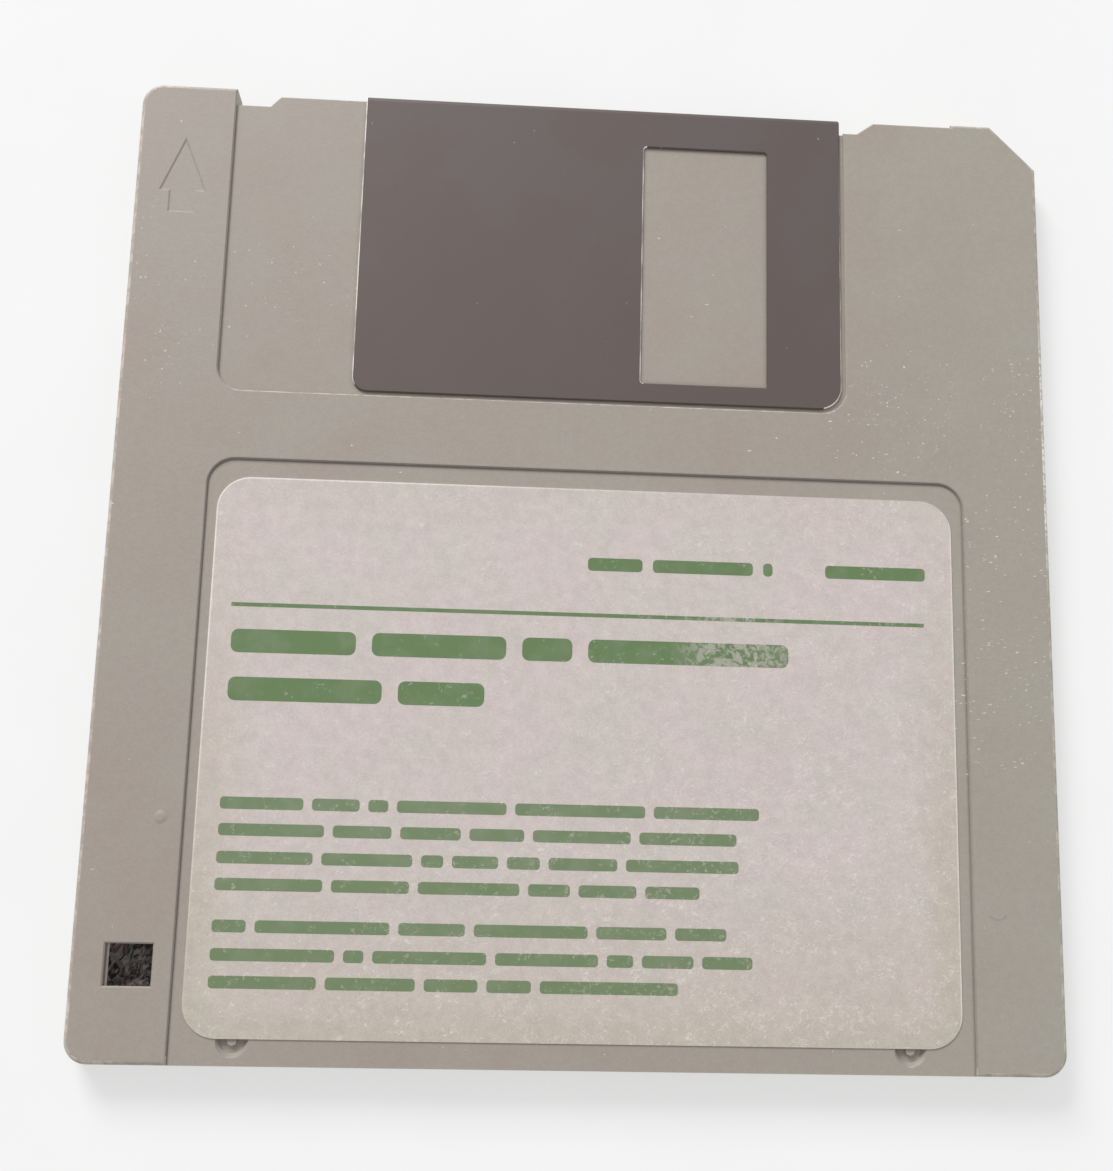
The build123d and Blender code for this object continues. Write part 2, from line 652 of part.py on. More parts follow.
def main():
    """Builds every piece and writes one file for each."""
    outside = case_outside()
    inside = case_inside()
    pieces = {
        "front_shell": make_front_shell(outside, inside),
        "back_shell": make_back_shell(outside, inside),
        "shutter": make_shutter(),
        "shutter_spring": make_spring(),
        "write_protect_slider": make_slider(),
        "magnetic_disk": make_film(),
        "hub": make_hub(),
        "hub_adhesive_ring": make_glue(),
        "front_liner": make_liner(CEILING_Z - LINER_T),
        "back_liner": make_liner(FLOOR_Z),
        "liner_lifter": make_lifter(),
        "label": make_label(),
        "hub_wear_pad": make_wear_pad(),
    }
    os.makedirs("parts", exist_ok=True)
    for name, piece in pieces.items():
        export_step(piece, "parts/" + name + ".step")


main()
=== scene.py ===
import bpy
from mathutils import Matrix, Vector


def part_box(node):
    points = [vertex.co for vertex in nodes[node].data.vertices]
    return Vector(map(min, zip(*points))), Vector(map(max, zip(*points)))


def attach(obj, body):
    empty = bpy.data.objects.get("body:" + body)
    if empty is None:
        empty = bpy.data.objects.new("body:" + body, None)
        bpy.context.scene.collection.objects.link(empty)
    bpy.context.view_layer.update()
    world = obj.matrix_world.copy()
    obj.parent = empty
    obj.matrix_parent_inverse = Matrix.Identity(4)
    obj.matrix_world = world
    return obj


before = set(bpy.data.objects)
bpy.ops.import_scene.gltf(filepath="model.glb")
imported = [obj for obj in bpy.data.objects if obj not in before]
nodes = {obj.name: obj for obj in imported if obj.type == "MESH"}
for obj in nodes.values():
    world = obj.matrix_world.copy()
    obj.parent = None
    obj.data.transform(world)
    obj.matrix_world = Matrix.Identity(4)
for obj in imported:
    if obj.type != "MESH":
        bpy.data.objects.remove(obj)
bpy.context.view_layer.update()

MM = 0.001
bpy.context.scene.view_settings.view_transform = "Standard"

# Viewpoint
# The disk lies on its hub face and is looked at from about 15 cm above, from a little to the
# left of its middle and toward the rear edge, with a lens of about 50 mm.
EYE_AT = Vector((-6.81, -35.84, 153.85)) * MM
EYE_TURN = (0.20468, -0.06860, 0.01826)

eye = bpy.data.cameras.new("eye")
eye.lens = 50.05
eye.sensor_width = 36.0
eye.shift_x = -0.0511
eye.shift_y = 0.0161
eye.clip_start = 0.005
eye.clip_end = 20.0
viewpoint = bpy.data.objects.new("viewpoint", eye)
viewpoint.location = EYE_AT
viewpoint.rotation_euler = EYE_TURN
bpy.context.scene.collection.objects.link(viewpoint)
bpy.context.scene.camera = viewpoint

# Table
# A pale matt table under the disk. It fades to white away from the disk. It is clear from below,
# and lets light through to what lies on it, so that the hub face can be looked at too.
TABLE_DROP = 0.03
TABLE_SIDE = 1500.0
TABLE_STEPS = 8
# Here and below, clouds are the scale and detail of a noise, and the values of it at which the
# clouds start and are full. A pair after them says what they drift from and to.
TABLE_CLOUDS, TABLE_TONE = (0.06, 3.0, 0.2, 0.8), (0.86, 0.90)
WHITE_FROM, WHITE_AT = 60.0, 260.0
WHITE_NEAR = 0.55
LET_THROUGH = 1.5


def node(tree, kind, feeds=(), **settings):
    """Adds a shader node with its settings, and feeds each input with a link or a value."""
    made = tree.nodes.new("ShaderNode" + kind)
    for name, value in settings.items():
        setattr(made, name, value)
    for name, value in dict(feeds).items():
        if isinstance(value, bpy.types.NodeSocket):
            tree.links.new(value, made.inputs[name])
        else:
            made.inputs[name].default_value = value
    return made


def calc(tree, operation, first, second=0.0, third=0.0):
    """The result of a Math node."""
    feeds = {0: first, 1: second, 2: third}
    return node(tree, "Math", feeds, operation=operation).outputs[0]


def ramp(tree, value, start, end, low=0.0, high=1.0):
    """A smooth climb from low to high while value goes from start to end."""
    feeds = {"Value": value, "From Min": start, "From Max": end, "To Min": low, "To Max": high}
    return node(tree, "MapRange", feeds, interpolation_type="SMOOTHSTEP").outputs[0]


def noise(tree, place, scale, detail, distortion=0.0):
    """A noise of about scale waves for each unit of place, round one half."""
    feeds = {"Vector": place, "Scale": scale, "Detail": detail, "Distortion": distortion}
    return node(tree, "TexNoise", feeds).outputs[0]


def cloudy(tree, place, clouds, low=0.0, high=1.0, distortion=0.0):
    """A number that drifts from low to high in soft clouds."""
    scale, detail, start, full = clouds
    return ramp(tree, noise(tree, place, scale, detail, distortion), start, full, low, high)


def empty_material(name):
    """A material with nothing in it but its output."""
    material = bpy.data.materials.new(name)
    material.use_nodes = True
    material.node_tree.nodes.clear()
    return material, material.node_tree, node(material.node_tree, "OutputMaterial")


def mm_place(tree):
    """The place on the piece, in mm."""
    place = node(tree, "TexCoord").outputs["Object"]
    return node(tree, "VectorMath", {0: place, "Scale": 1 / MM}, operation="SCALE").outputs[0]


def clear_from_below(tree, out, surface):
    """The surface shows from above only, and isn't there for what lies on it."""
    clear = node(tree, "BsdfTransparent").outputs[0]
    below = node(tree, "NewGeometry").outputs["Backfacing"]
    path = node(tree, "LightPath").outputs
    beside = calc(tree, "LESS_THAN", path["Ray Length"], LET_THROUGH * MM)
    gone = calc(tree, "MAXIMUM", below, beside)
    both = node(tree, "MixShader", {0: gone, 1: surface, 2: clear}).outputs[0]
    tree.links.new(both, out.inputs["Surface"])


def deselect():
    """Nothing stays selected, so that an operator acts on the new piece alone."""
    bpy.ops.object.select_all(action="DESELECT")


def finished(name, material):
    """Names and dresses the piece just made, and moves its place into its mesh."""
    piece = bpy.context.object
    bpy.ops.object.transform_apply(location=True, rotation=True, scale=True)
    piece.name = name
    piece.data.name = name
    piece.data.materials.clear()
    piece.data.materials.append(material)
    return piece


def seen_or_mirrored(tree):
    """1 where looked at, straight, in a gloss or through glass, and 0 where it gives light."""
    path = node(tree, "LightPath").outputs
    seen = calc(tree, "MAXIMUM", path["Is Camera Ray"], path["Is Glossy Ray"])
    return calc(tree, "MAXIMUM", seen, path["Is Transmission Ray"])


def make_table_material():
    """Matt near the disk, and more and more plain white away from it."""
    material, tree, out = empty_material("pale table")
    place = mm_place(tree)
    away = node(tree, "VectorMath", {0: place}, operation="LENGTH").outputs["Value"]
    white = ramp(tree, away, WHITE_FROM, WHITE_AT, WHITE_NEAR, 1.0)
    tone = cloudy(tree, place, TABLE_CLOUDS, *TABLE_TONE)
    colour = node(tree, "CombineColor", {0: tone, 1: tone, 2: tone}).outputs[0]
    matt = node(tree, "BsdfDiffuse", {"Color": colour}).outputs[0]
    glow = node(tree, "Emission", {"Color": (1, 1, 1, 1), "Strength": 1.0}).outputs[0]
    share = calc(tree, "MULTIPLY", seen_or_mirrored(tree), white)
    clear_from_below(tree, out, node(tree, "MixShader", {0: share, 1: matt, 2: glow}).outputs[0])
    return material


deselect()
bpy.ops.mesh.primitive_grid_add(
    x_subdivisions=TABLE_STEPS,
    y_subdivisions=TABLE_STEPS,
    size=TABLE_SIDE * MM,
    location=(0, 0, -TABLE_DROP * MM),
)
table = finished("table", make_table_material())

# Dark cloth
# What lies under the write-protect hole is dark and coarse, as a woven cloth is. A scrap of it
# lies there, between the hub face and the table; it is no part of the disk.
CLOTH_SIDE = 5.6
CLOTH_STEPS = 4
CLOTH_X, CLOTH_Y = -39.9, -38.4
THREAD_TURN = 1.05
THREAD_STRETCH = (1.0, 0.55, 1)
THREAD_CURL = 1.5
CLOTH_CLOUDS, CLOTH_TONE = (1.1, 5.0, 0.34, 0.74), (0.04, 0.42)
WARM_CLOUDS, WARM_DROP = (0.8, 2.0, 0.4, 0.6), (0.82, 0.98)


def make_cloth_material():
    """Dark curly threads, with less green and blue in some of them."""
    material, tree, out = empty_material("dark cloth")
    feeds = {"Vector": mm_place(tree), "Rotation": (0, 0, THREAD_TURN), "Scale": THREAD_STRETCH}
    threads = node(tree, "Mapping", feeds, vector_type="TEXTURE").outputs[0]
    tone = cloudy(tree, threads, CLOTH_CLOUDS, *CLOTH_TONE, THREAD_CURL)
    cool = calc(tree, "MULTIPLY", tone, cloudy(tree, threads, WARM_CLOUDS, *WARM_DROP))
    colour = node(tree, "CombineColor", {0: tone, 1: cool, 2: cool}).outputs[0]
    clear_from_below(tree, out, node(tree, "BsdfDiffuse", {"Color": colour}).outputs[0])
    return material


deselect()
bpy.ops.mesh.primitive_grid_add(
    x_subdivisions=CLOTH_STEPS,
    y_subdivisions=CLOTH_STEPS,
    size=CLOTH_SIDE * MM,
    location=(CLOTH_X * MM, CLOTH_Y * MM, -TABLE_DROP / 2 * MM),
)
cloth = finished("cloth_under_hole", make_cloth_material())

# Light
# One soft lamp, low beyond the shutter edge and to the left, throws the shadow at the rear and
# the right. Even light comes from all round, from a sky that looks plain white.
LAMP_AT = Vector((-570.0, 1170.0, 870.0)) * MM
LAMP_SIDE = 650.0
LAMP_POWER = 20.2
SKY_LIGHT = 0.49

lamp = bpy.data.lights.new("soft lamp", "AREA")
lamp.shape = "SQUARE"
lamp.size = LAMP_SIDE * MM
lamp.energy = LAMP_POWER
lamp_stand = bpy.data.objects.new("soft_lamp", lamp)
lamp_stand.location = LAMP_AT
lamp_stand.rotation_euler = (-LAMP_AT).to_track_quat("-Z", "Y").to_euler()
bpy.context.scene.collection.objects.link(lamp_stand)

sky = bpy.data.worlds.new("even light")
sky.use_nodes = True
sky.node_tree.nodes.clear()
sky_level = ramp(sky.node_tree, seen_or_mirrored(sky.node_tree), 0.0, 1.0, SKY_LIGHT, 1.0)
sky_glow = node(sky.node_tree, "Background", {"Color": (1, 1, 1, 1), "Strength": sky_level})
sky_out = node(sky.node_tree, "OutputWorld")
sky.node_tree.links.new(sky_glow.outputs[0], sky_out.inputs["Surface"])
bpy.context.scene.world = sky

# Case halves
# Front and back shell, moulded in grey-beige styrene with a fine eroded texture and welded
# together at the edge. Handling has rubbed its outer edges, which also carry a painted highlight,
# and left bright flecks at the sides, which are partly painted glints.
CASE_WARM = (0.364, 0.310, 0.273, 1)
CASE_COOL = (0.382, 0.361, 0.310, 1)
FLECK_AND_GLINT = (0.74, 0.70, 0.64, 1)
CASE_WORN_HIGHLIGHT = (0.96, 0.94, 0.90, 1)
CASE_ROUGH, CASE_ROUGH_SPAN = 0.5, 0.04
# Under the fine pits of the texture lie broader, shallower ones. A bump is its strength and depth.
CASE_GRAIN = 0.24
BROAD_PITS, BROAD_DEPTH = 0.3, 0.5
CASE_LEVEL = (0.97, 1.03)
CASE_BUMP = (0.35, 0.03)
# The colour drifts in patches, and turns cooler toward the right.
PATCH_DETAIL, PATCH_START, PATCH_FULL = 4.0, 0.32, 0.68
PATCH_SIZE = 9.0
COOL_PATCHES, COOL_RIGHT = 0.4, 0.6
COOL_FROM, COOL_AT = 15.0, 48.0
# The outer edges, and the recess's rear rim, are lighter where the surface slopes, from nearly
# upright to nearly flat: partly rubbing, partly a painted highlight.
OUTER_X, OUTER_Y = 44.3, 46.2
RECESS_REAR, RIM_BAND = 15.5, 0.3
UPRIGHT, SLOPING = 0.15, 0.5
FLAT, NOT_FLAT = 0.998, 0.98
RUB_AND_HIGHLIGHT_CLOUDS, RUB_AND_HIGHLIGHT_LEVEL = (1.1, 4.0, 0.4, 0.66), (0.1, 0.6)
# The right edge is painted white for a stretch, a painted highlight as well as wear: its middle,
# how far it reaches from there, and the height on the edge's rounding down to which it goes.
WORN_HIGHLIGHT_Y, WORN_HIGHLIGHT_REACH = 13.0, 16.0
WORN_HIGHLIGHT_LOW, WORN_HIGHLIGHT_BORDER = 3.13, 0.03
WORN_HIGHLIGHT_CLOUDS, WORN_HIGHLIGHT_SHARE = (2.4, 4.0, 0.38, 0.6), (0.1, 1.0)
# Where the case is dotted with bright flecks, and where with short scratches across it, both
# partly wear and partly painted glints: x, y, how far they lie round there, and the share of
# places that have one in the thick of it, which is a third as wide. A few stray ones lie
# everywhere.
FLECK_AND_GLINT_SPOTS = (
    (-42.0, 24.0, 13.0, 0.45),
    (-46.0, 33.0, 6.5, 1.0),
    (-28.0, 27.0, 9.0, 0.45),
    (31.0, 16.0, 10.0, 1.0),
    (43.0, 14.0, 11.0, 0.7),
)
SCRATCH_AND_GLINT_SPOTS = (
    (29.0, 14.0, 8.0, 0.5),
    (43.0, 21.0, 6.0, 0.6),
    (40.5, 1.0, 10.0, 0.9),
    (41.0, -10.0, 13.0, 1.0),
)
THICK_PART = 3
STRAY_MARKS = 0.008
MARK_CLUMPS, CLUMPED = (0.35, 3.0, 0.38, 0.6), (0.15, 1.5)
MARK_CLOUDS, MARK_BRIGHT = (1.3, 1.0, 0.3, 0.7), (0.2, 1.0)
FLECK_SPACING, FLECK_RADIUS = 0.46, 0.11
SCRATCH_SPACING, SCRATCH_RADIUS = 0.28, 0.08
SCRATCH_LONG, SCRATCH_LEAN = 3.0, 0.1
# A fleck is pulled out of round by a noise finer than itself, is less than half its full size at
# the least, and has a soft border round its core.
PULL_FINE, PULL_REACH = 0.4, 1.8
LEAST_FLECK, FLECK_CORE = 0.45, 0.5
# Painted shade darkens the floor of the recess along the shutter and inside its port, and the
# place along the wall of the label's panel, all on the label side.
SHUTTER_R = 1.6
PORT_LEFT, PORT_RIGHT = 4.925, 17.375
PORT_REAR, PORT_LEAD = 17.85, 42.85
PORT_R = 0.3
PANEL_LEFT, PANEL_RIGHT, PANEL_LEAD = -35.95, 36.5, 8.65
PANEL_R = 2.5
LABEL_SIDE_FROM = 2.5
SHUTTER_SHADE_REACH, SHUTTER_SHADE = 0.5, 0.14
PANEL_SHADE_REACH, PANEL_SHADE = 0.28, 0.3
shutter_low, shutter_high = [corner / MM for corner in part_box("shutter")]
# A faint arc is pressed into the right margin. It is open at its lead.
SCUFF_X, SCUFF_Y, SCUFF_R = 38.9, -32.1, 0.9
SCUFF_HALF, SCUFF_CORE = 0.16, 0.03
SCUFF_START, SCUFF_FULL = -0.3, -0.6
SCUFF_SHADE = -0.16


def new_effect(name, takes, gives):
    """A node group for an effect that several materials use: its tree, its start and its end."""
    group = bpy.data.node_groups.new(name, "ShaderNodeTree")
    for label, kind, value in takes:
        socket = group.interface.new_socket(label, in_out="INPUT", socket_type="NodeSocket" + kind)
        socket.default_value = value
    for label, kind in gives:
        group.interface.new_socket(label, in_out="OUTPUT", socket_type="NodeSocket" + kind)
    start = group.nodes.new("NodeGroupInput").outputs
    end = group.nodes.new("NodeGroupOutput").inputs
    return group, start, end


def use_effect(tree, group, feeds):
    """The outputs of a node group placed in a material."""
    return node(tree, "Group", feeds, node_tree=group).outputs


def mixed(tree, share, first, second):
    """The colour between first and second."""
    return node(tree, "Mix", {0: share, 6: first, 7: second}, data_type="RGBA").outputs[2]


def levelled(tree, colour, level):
    """The colour made darker or lighter by a level near 1."""
    tone = node(tree, "CombineColor", {0: level, 1: level, 2: level}).outputs[0]
    feeds = {0: 1.0, 6: colour, 7: tone}
    return node(tree, "Mix", feeds, data_type="RGBA", blend_type="MULTIPLY").outputs[2]


def bumpy(tree, height, bump):
    """The normals of a surface that is uneven by height."""
    strength, depth = bump
    feeds = {"Strength": strength, "Distance": depth * MM, "Height": height}
    return node(tree, "Bump", feeds).outputs[0]


def cover(tree, out, feeds):
    """Gives the material a surface of these feeds."""
    tree.links.new(node(tree, "BsdfPrincipled", feeds).outputs[0], out.inputs["Surface"])


def parts_of(tree, vector):
    """The three numbers of a vector."""
    return node(tree, "SeparateXYZ", {0: vector}).outputs


def length_of(tree, across, along):
    """How far a place is that lies so far across and so far along."""
    squared = calc(tree, "MULTIPLY", along, along)
    return calc(tree, "SQRT", calc(tree, "MULTIPLY_ADD", across, across, squared))


def make_grain_effect():
    """The fine pits that an eroded mould leaves, grain mm apart."""
    tree, start, end = new_effect(
        "eroded grain",
        [("Place", "Vector", (0, 0, 0)), ("Grain", "Float", 0.2)],
        [("Height", "Float"), ("Shade", "Float")],
    )
    scale = calc(tree, "DIVIDE", 1.0, start["Grain"])
    wide = calc(tree, "MULTIPLY", scale, BROAD_PITS)
    fine = noise(tree, start["Place"], scale, 2.0)
    broad = noise(tree, start["Place"], wide, 1.0)
    height = calc(tree, "MULTIPLY_ADD", broad, BROAD_DEPTH, fine)
    tree.links.new(height, end["Height"])
    tree.links.new(ramp(tree, height, 0.5, 1.0, -1.0, 1.0), end["Shade"])
    return tree


def make_patch_effect():
    """Soft patches, size mm across, in which a surface drifts from one tone to another."""
    tree, start, end = new_effect(
        "soft patches",
        [("Place", "Vector", (0, 0, 0)), ("Size", "Float", 12.0)],
        [("Share", "Float")],
    )
    scale = calc(tree, "DIVIDE", 1.0, start["Size"])
    patches = (scale, PATCH_DETAIL, PATCH_START, PATCH_FULL)
    tree.links.new(cloudy(tree, start["Place"], patches), end["Share"])
    return tree


def make_fleck_effect():
    """Bright flecks of uneven shape, about spacing mm apart and at most radius mm large."""
    tree, start, end = new_effect(
        "flecks",
        [
            ("Place", "Vector", (0, 0, 0)),
            ("Spacing", "Float", 1.0),
            ("Radius", "Float", 0.1),
            ("Share", "Float", 0.5),
        ],
        [("Mask", "Float")],
    )
    scale = calc(tree, "DIVIDE", 1.0, start["Spacing"])
    fine = calc(tree, "DIVIDE", PULL_FINE, start["Radius"])
    feeds = {"Vector": start["Place"], "Scale": fine, "Detail": 0.0}
    pull = node(tree, "TexNoise", feeds).outputs["Color"]
    reach = calc(tree, "MULTIPLY", start["Radius"], PULL_REACH)
    pull = node(tree, "VectorMath", {0: pull, "Scale": reach}, operation="SCALE").outputs[0]
    pulled = node(tree, "VectorMath", {0: start["Place"], 1: pull}).outputs[0]
    cells = node(tree, "TexVoronoi", {"Vector": pulled, "Scale": scale}).outputs
    pick, grow = parts_of(tree, cells["Color"])[:2]
    size = calc(tree, "MULTIPLY", start["Radius"], scale)
    size = calc(tree, "MULTIPLY", size, ramp(tree, grow, 0.0, 1.0, LEAST_FLECK, 1.0))
    spot = ramp(tree, calc(tree, "DIVIDE", cells["Distance"], size), 1.0, FLECK_CORE)
    chosen = calc(tree, "LESS_THAN", pick, start["Share"])
    tree.links.new(calc(tree, "MULTIPLY", spot, chosen), end["Mask"])
    return tree


def make_rim_effect():
    """The slopes of rounded edges, neither flat nor upright, where a piece is rubbed and painted
    lighter as a highlight.
    """
    tree, start, end = new_effect(
        "rim slopes", [("Normal", "Vector", (0, 0, 1))], [("Mask", "Float")]
    )
    up = calc(tree, "ABSOLUTE", parts_of(tree, start["Normal"])["Z"])
    leans = ramp(tree, up, UPRIGHT, SLOPING)
    tree.links.new(calc(tree, "MULTIPLY", leans, ramp(tree, up, FLAT, NOT_FLAT)), end["Mask"])
    return tree


GRAIN = make_grain_effect()
PATCHES = make_patch_effect()
FLECKS = make_fleck_effect()
RIMS = make_rim_effect()


def scuff(tree, x, y):
    """Where the pressed arc is: a ring without its lead part."""
    across = calc(tree, "SUBTRACT", x, SCUFF_X)
    along = calc(tree, "SUBTRACT", y, SCUFF_Y)
    off = calc(tree, "SUBTRACT", length_of(tree, across, along), SCUFF_R)
    line = ramp(tree, calc(tree, "ABSOLUTE", off), SCUFF_HALF, SCUFF_CORE)
    return calc(tree, "MULTIPLY", line, ramp(tree, along, SCUFF_START, SCUFF_FULL))


def outside_box(tree, x, y, left, right, rear, lead, radius):
    """How far outside a rounded box on the label face a place is, in mm; less than 0 inside."""
    across = calc(tree, "ABSOLUTE", calc(tree, "SUBTRACT", x, (left + right) / 2))
    along = calc(tree, "ABSOLUTE", calc(tree, "SUBTRACT", y, (rear + lead) / 2))
    over_x = calc(tree, "SUBTRACT", across, (right - left) / 2 - radius)
    over_y = calc(tree, "SUBTRACT", along, (lead - rear) / 2 - radius)
    out_x = calc(tree, "MAXIMUM", over_x, 0.0)
    out_y = calc(tree, "MAXIMUM", over_y, 0.0)
    corner = length_of(tree, out_x, out_y)
    inner = calc(tree, "MINIMUM", calc(tree, "MAXIMUM", over_x, over_y), 0.0)
    return calc(tree, "SUBTRACT", calc(tree, "ADD", corner, inner), radius)


def painted_shade_line(tree, x, y, outline, reach, shade):
    """Painted shade along an outline, darkest against the edge."""
    off = calc(tree, "ABSOLUTE", outside_box(tree, x, y, *outline))
    return ramp(tree, off, reach, 0.0, 0.0, shade)


def painted_shade(tree, x, y, z):
    """How much darker the painted shade along the shutter, its port and the panel makes the label
    side.
    """
    # The outlines of the leaf and of the panel run on past the edge of the case.
    leaf = (shutter_low.x, shutter_high.x, shutter_low.y, 2 * shutter_high.y, SHUTTER_R)
    port = (PORT_LEFT, PORT_RIGHT, PORT_REAR, PORT_LEAD, PORT_R)
    panel = (PANEL_LEFT, PANEL_RIGHT, -2 * shutter_high.y, PANEL_LEAD, PANEL_R)
    by_leaf = painted_shade_line(tree, x, y, leaf, SHUTTER_SHADE_REACH, SHUTTER_SHADE)
    by_port = painted_shade_line(tree, x, y, port, SHUTTER_SHADE_REACH, SHUTTER_SHADE)
    shade_by_shutter = calc(tree, "MAXIMUM", by_leaf, by_port)
    shade_by_panel = painted_shade_line(tree, x, y, panel, PANEL_SHADE_REACH, PANEL_SHADE)
    shade_lines = calc(tree, "MAXIMUM", shade_by_shutter, shade_by_panel)
    return calc(tree, "MULTIPLY", shade_lines, calc(tree, "GREATER_THAN", z, LABEL_SIDE_FROM))


def marked(tree, place, spots, clump):
    """How many marks there are at a place: most at the middle of a spot, and in clumps."""
    near = 0.0
    for spot_x, spot_y, reach, most in spots:
        feeds = {0: place, 1: (spot_x, spot_y, 0)}
        away = node(tree, "VectorMath", feeds, operation="DISTANCE").outputs["Value"]
        here = ramp(tree, away, reach, reach / THICK_PART, 0.0, most)
        near = calc(tree, "MAXIMUM", near, here)
    return calc(tree, "MULTIPLY_ADD", near, clump, STRAY_MARKS)


def worn_highlight_edge(tree, place, sloping):
    """Where the right edge is painted white, as highlight and wear: broken, and strongest in the
    middle of its stretch.
    """
    x, y, z = parts_of(tree, place)
    away = calc(tree, "ABSOLUTE", calc(tree, "SUBTRACT", y, WORN_HIGHLIGHT_Y))
    near = ramp(tree, away, WORN_HIGHLIGHT_REACH, WORN_HIGHLIGHT_REACH / THICK_PART)
    near = calc(tree, "MULTIPLY", near, calc(tree, "GREATER_THAN", x, OUTER_X))
    near = calc(tree, "MULTIPLY", near, ramp(tree, z, WORN_HIGHLIGHT_LOW, WORN_HIGHLIGHT_LOW + WORN_HIGHLIGHT_BORDER))
    broken = cloudy(tree, place, WORN_HIGHLIGHT_CLOUDS, *WORN_HIGHLIGHT_SHARE)
    return calc(tree, "MULTIPLY", calc(tree, "MULTIPLY", near, sloping), broken)


def make_plastic(name, warm, cool, rough):
    """Moulded plastic: eroded grain, drifting tone, rubbed edges and flecks at the margins, with
    painted highlights, glints and shade.
    """
    material, tree, out = empty_material(name)
    place = mm_place(tree)
    normal = node(tree, "TexCoord").outputs["Normal"]
    x, y, z = parts_of(tree, place)
    patches = use_effect(tree, PATCHES, {"Place": place, "Size": PATCH_SIZE})["Share"]
    at_right = ramp(tree, x, COOL_FROM, COOL_AT, 0.0, COOL_RIGHT)
    share = calc(tree, "MULTIPLY_ADD", patches, COOL_PATCHES, at_right)
    colour = mixed(tree, share, warm, cool)
    grain = use_effect(tree, GRAIN, {"Place": place, "Grain": CASE_GRAIN})
    level = ramp(tree, grain["Shade"], -1.0, 1.0, *CASE_LEVEL)
    past_x = calc(tree, "GREATER_THAN", calc(tree, "ABSOLUTE", x), OUTER_X)
    past_y = calc(tree, "GREATER_THAN", calc(tree, "ABSOLUTE", y), OUTER_Y)
    outer = calc(tree, "MAXIMUM", past_x, past_y)
    # The shutter's foot runs along the rear rim of the recess.
    outer = calc(tree, "MAXIMUM", outer, calc(tree, "COMPARE", y, RECESS_REAR, RIM_BAND))
    sloping = use_effect(tree, RIMS, {"Normal": normal})["Mask"]
    # The sloping outer edges and the recess's rear rim are made lighter: rubbing and a painted
    # highlight.
    rim_rub_and_highlight = calc(tree, "MULTIPLY", outer, sloping)
    rim_rub_and_highlight = calc(tree, "MULTIPLY", rim_rub_and_highlight, cloudy(tree, place, RUB_AND_HIGHLIGHT_CLOUDS, *RUB_AND_HIGHLIGHT_LEVEL))
    level = calc(tree, "ADD", rim_rub_and_highlight, level)
    level = calc(tree, "MULTIPLY_ADD", scuff(tree, x, y), SCUFF_SHADE, level)
    # Painted shade along the shutter, its port and the panel's wall.
    level = calc(tree, "SUBTRACT", level, painted_shade(tree, x, y, z))
    shaded = levelled(tree, colour, level)
    clump = cloudy(tree, place, MARK_CLUMPS, *CLUMPED)
    feeds = {
        "Place": place,
        "Spacing": FLECK_SPACING,
        "Radius": FLECK_RADIUS,
        "Share": marked(tree, place, FLECK_AND_GLINT_SPOTS, clump),
    }
    fleck_and_glint = use_effect(tree, FLECKS, feeds)["Mask"]
    feeds = {"Vector": place, "Rotation": (0, 0, SCRATCH_LEAN), "Scale": (SCRATCH_LONG, 1, 1)}
    feeds = {
        "Place": node(tree, "Mapping", feeds, vector_type="TEXTURE").outputs[0],
        "Spacing": SCRATCH_SPACING,
        "Radius": SCRATCH_RADIUS,
        "Share": marked(tree, place, SCRATCH_AND_GLINT_SPOTS, clump),
    }
    scratch_and_glint = use_effect(tree, FLECKS, feeds)["Mask"]
    # Flecks and scratches: wear marks and painted glints.
    marks_and_glints = calc(tree, "MAXIMUM", fleck_and_glint, scratch_and_glint)
    marks_and_glints = calc(tree, "MULTIPLY", marks_and_glints, cloudy(tree, place, MARK_CLOUDS, *MARK_BRIGHT))
    with_marks_and_glints = mixed(tree, marks_and_glints, shaded, FLECK_AND_GLINT)
    # The white stretch on the right edge is a painted highlight as well as wear.
    feeds = {
        "Base Color": mixed(tree, worn_highlight_edge(tree, place, sloping), with_marks_and_glints, CASE_WORN_HIGHLIGHT),
        "Roughness": calc(tree, "MULTIPLY_ADD", grain["Shade"], CASE_ROUGH_SPAN, rough),
        "Normal": bumpy(tree, grain["Height"], CASE_BUMP),
    }
    cover(tree, out, feeds)
    return material


def dress(name, material):
    """Puts a material on a node of the CAD model."""
    slots = nodes[name].data.materials
    for number in range(len(slots)):
        slots[number] = material


case_plastic = make_plastic("moulded case plastic", CASE_WARM, CASE_COOL, CASE_ROUGH)
dress("front_shell", case_plastic)
dress("back_shell", case_plastic)

# Write-protect slider
# A small moulded tab in a room behind the write-protect hole. It is of the same plastic as the
# case, from a smoother mould, and a little darker.
SLIDER_WARM = (0.35, 0.30, 0.26, 1)
SLIDER_COOL = (0.33, 0.31, 0.27, 1)
SLIDER_ROUGH = 0.4
slider_plastic = make_plastic("slider plastic", SLIDER_WARM, SLIDER_COOL, SLIDER_ROUGH)
dress("write_protect_slider", slider_plastic)

# Shutter
# Folded from one strip of thin sheet metal with a satin brown-grey finish. Its rolled-over rims at
# the left of the leaf and of its port and down the leaf's right side are bare metal: worn by
# sliding, and also a painted highlight.
SHEET_COOL = (0.107, 0.086, 0.086, 1)
SHEET_WARM = (0.104, 0.079, 0.071, 1)
SHEET_METALLIC = 0.35
SHEET_ROUGH, SHEET_ROUGH_SPAN = 0.55, 0.03
SHEET_GRAIN = 0.12
SHEET_BUMP = (0.25, 0.01)
# The leaf is warmer toward its foot.
WARM_FROM, WARM_AT = 48.0, 14.0
WARM_SHARE = (-0.25, 0.45)
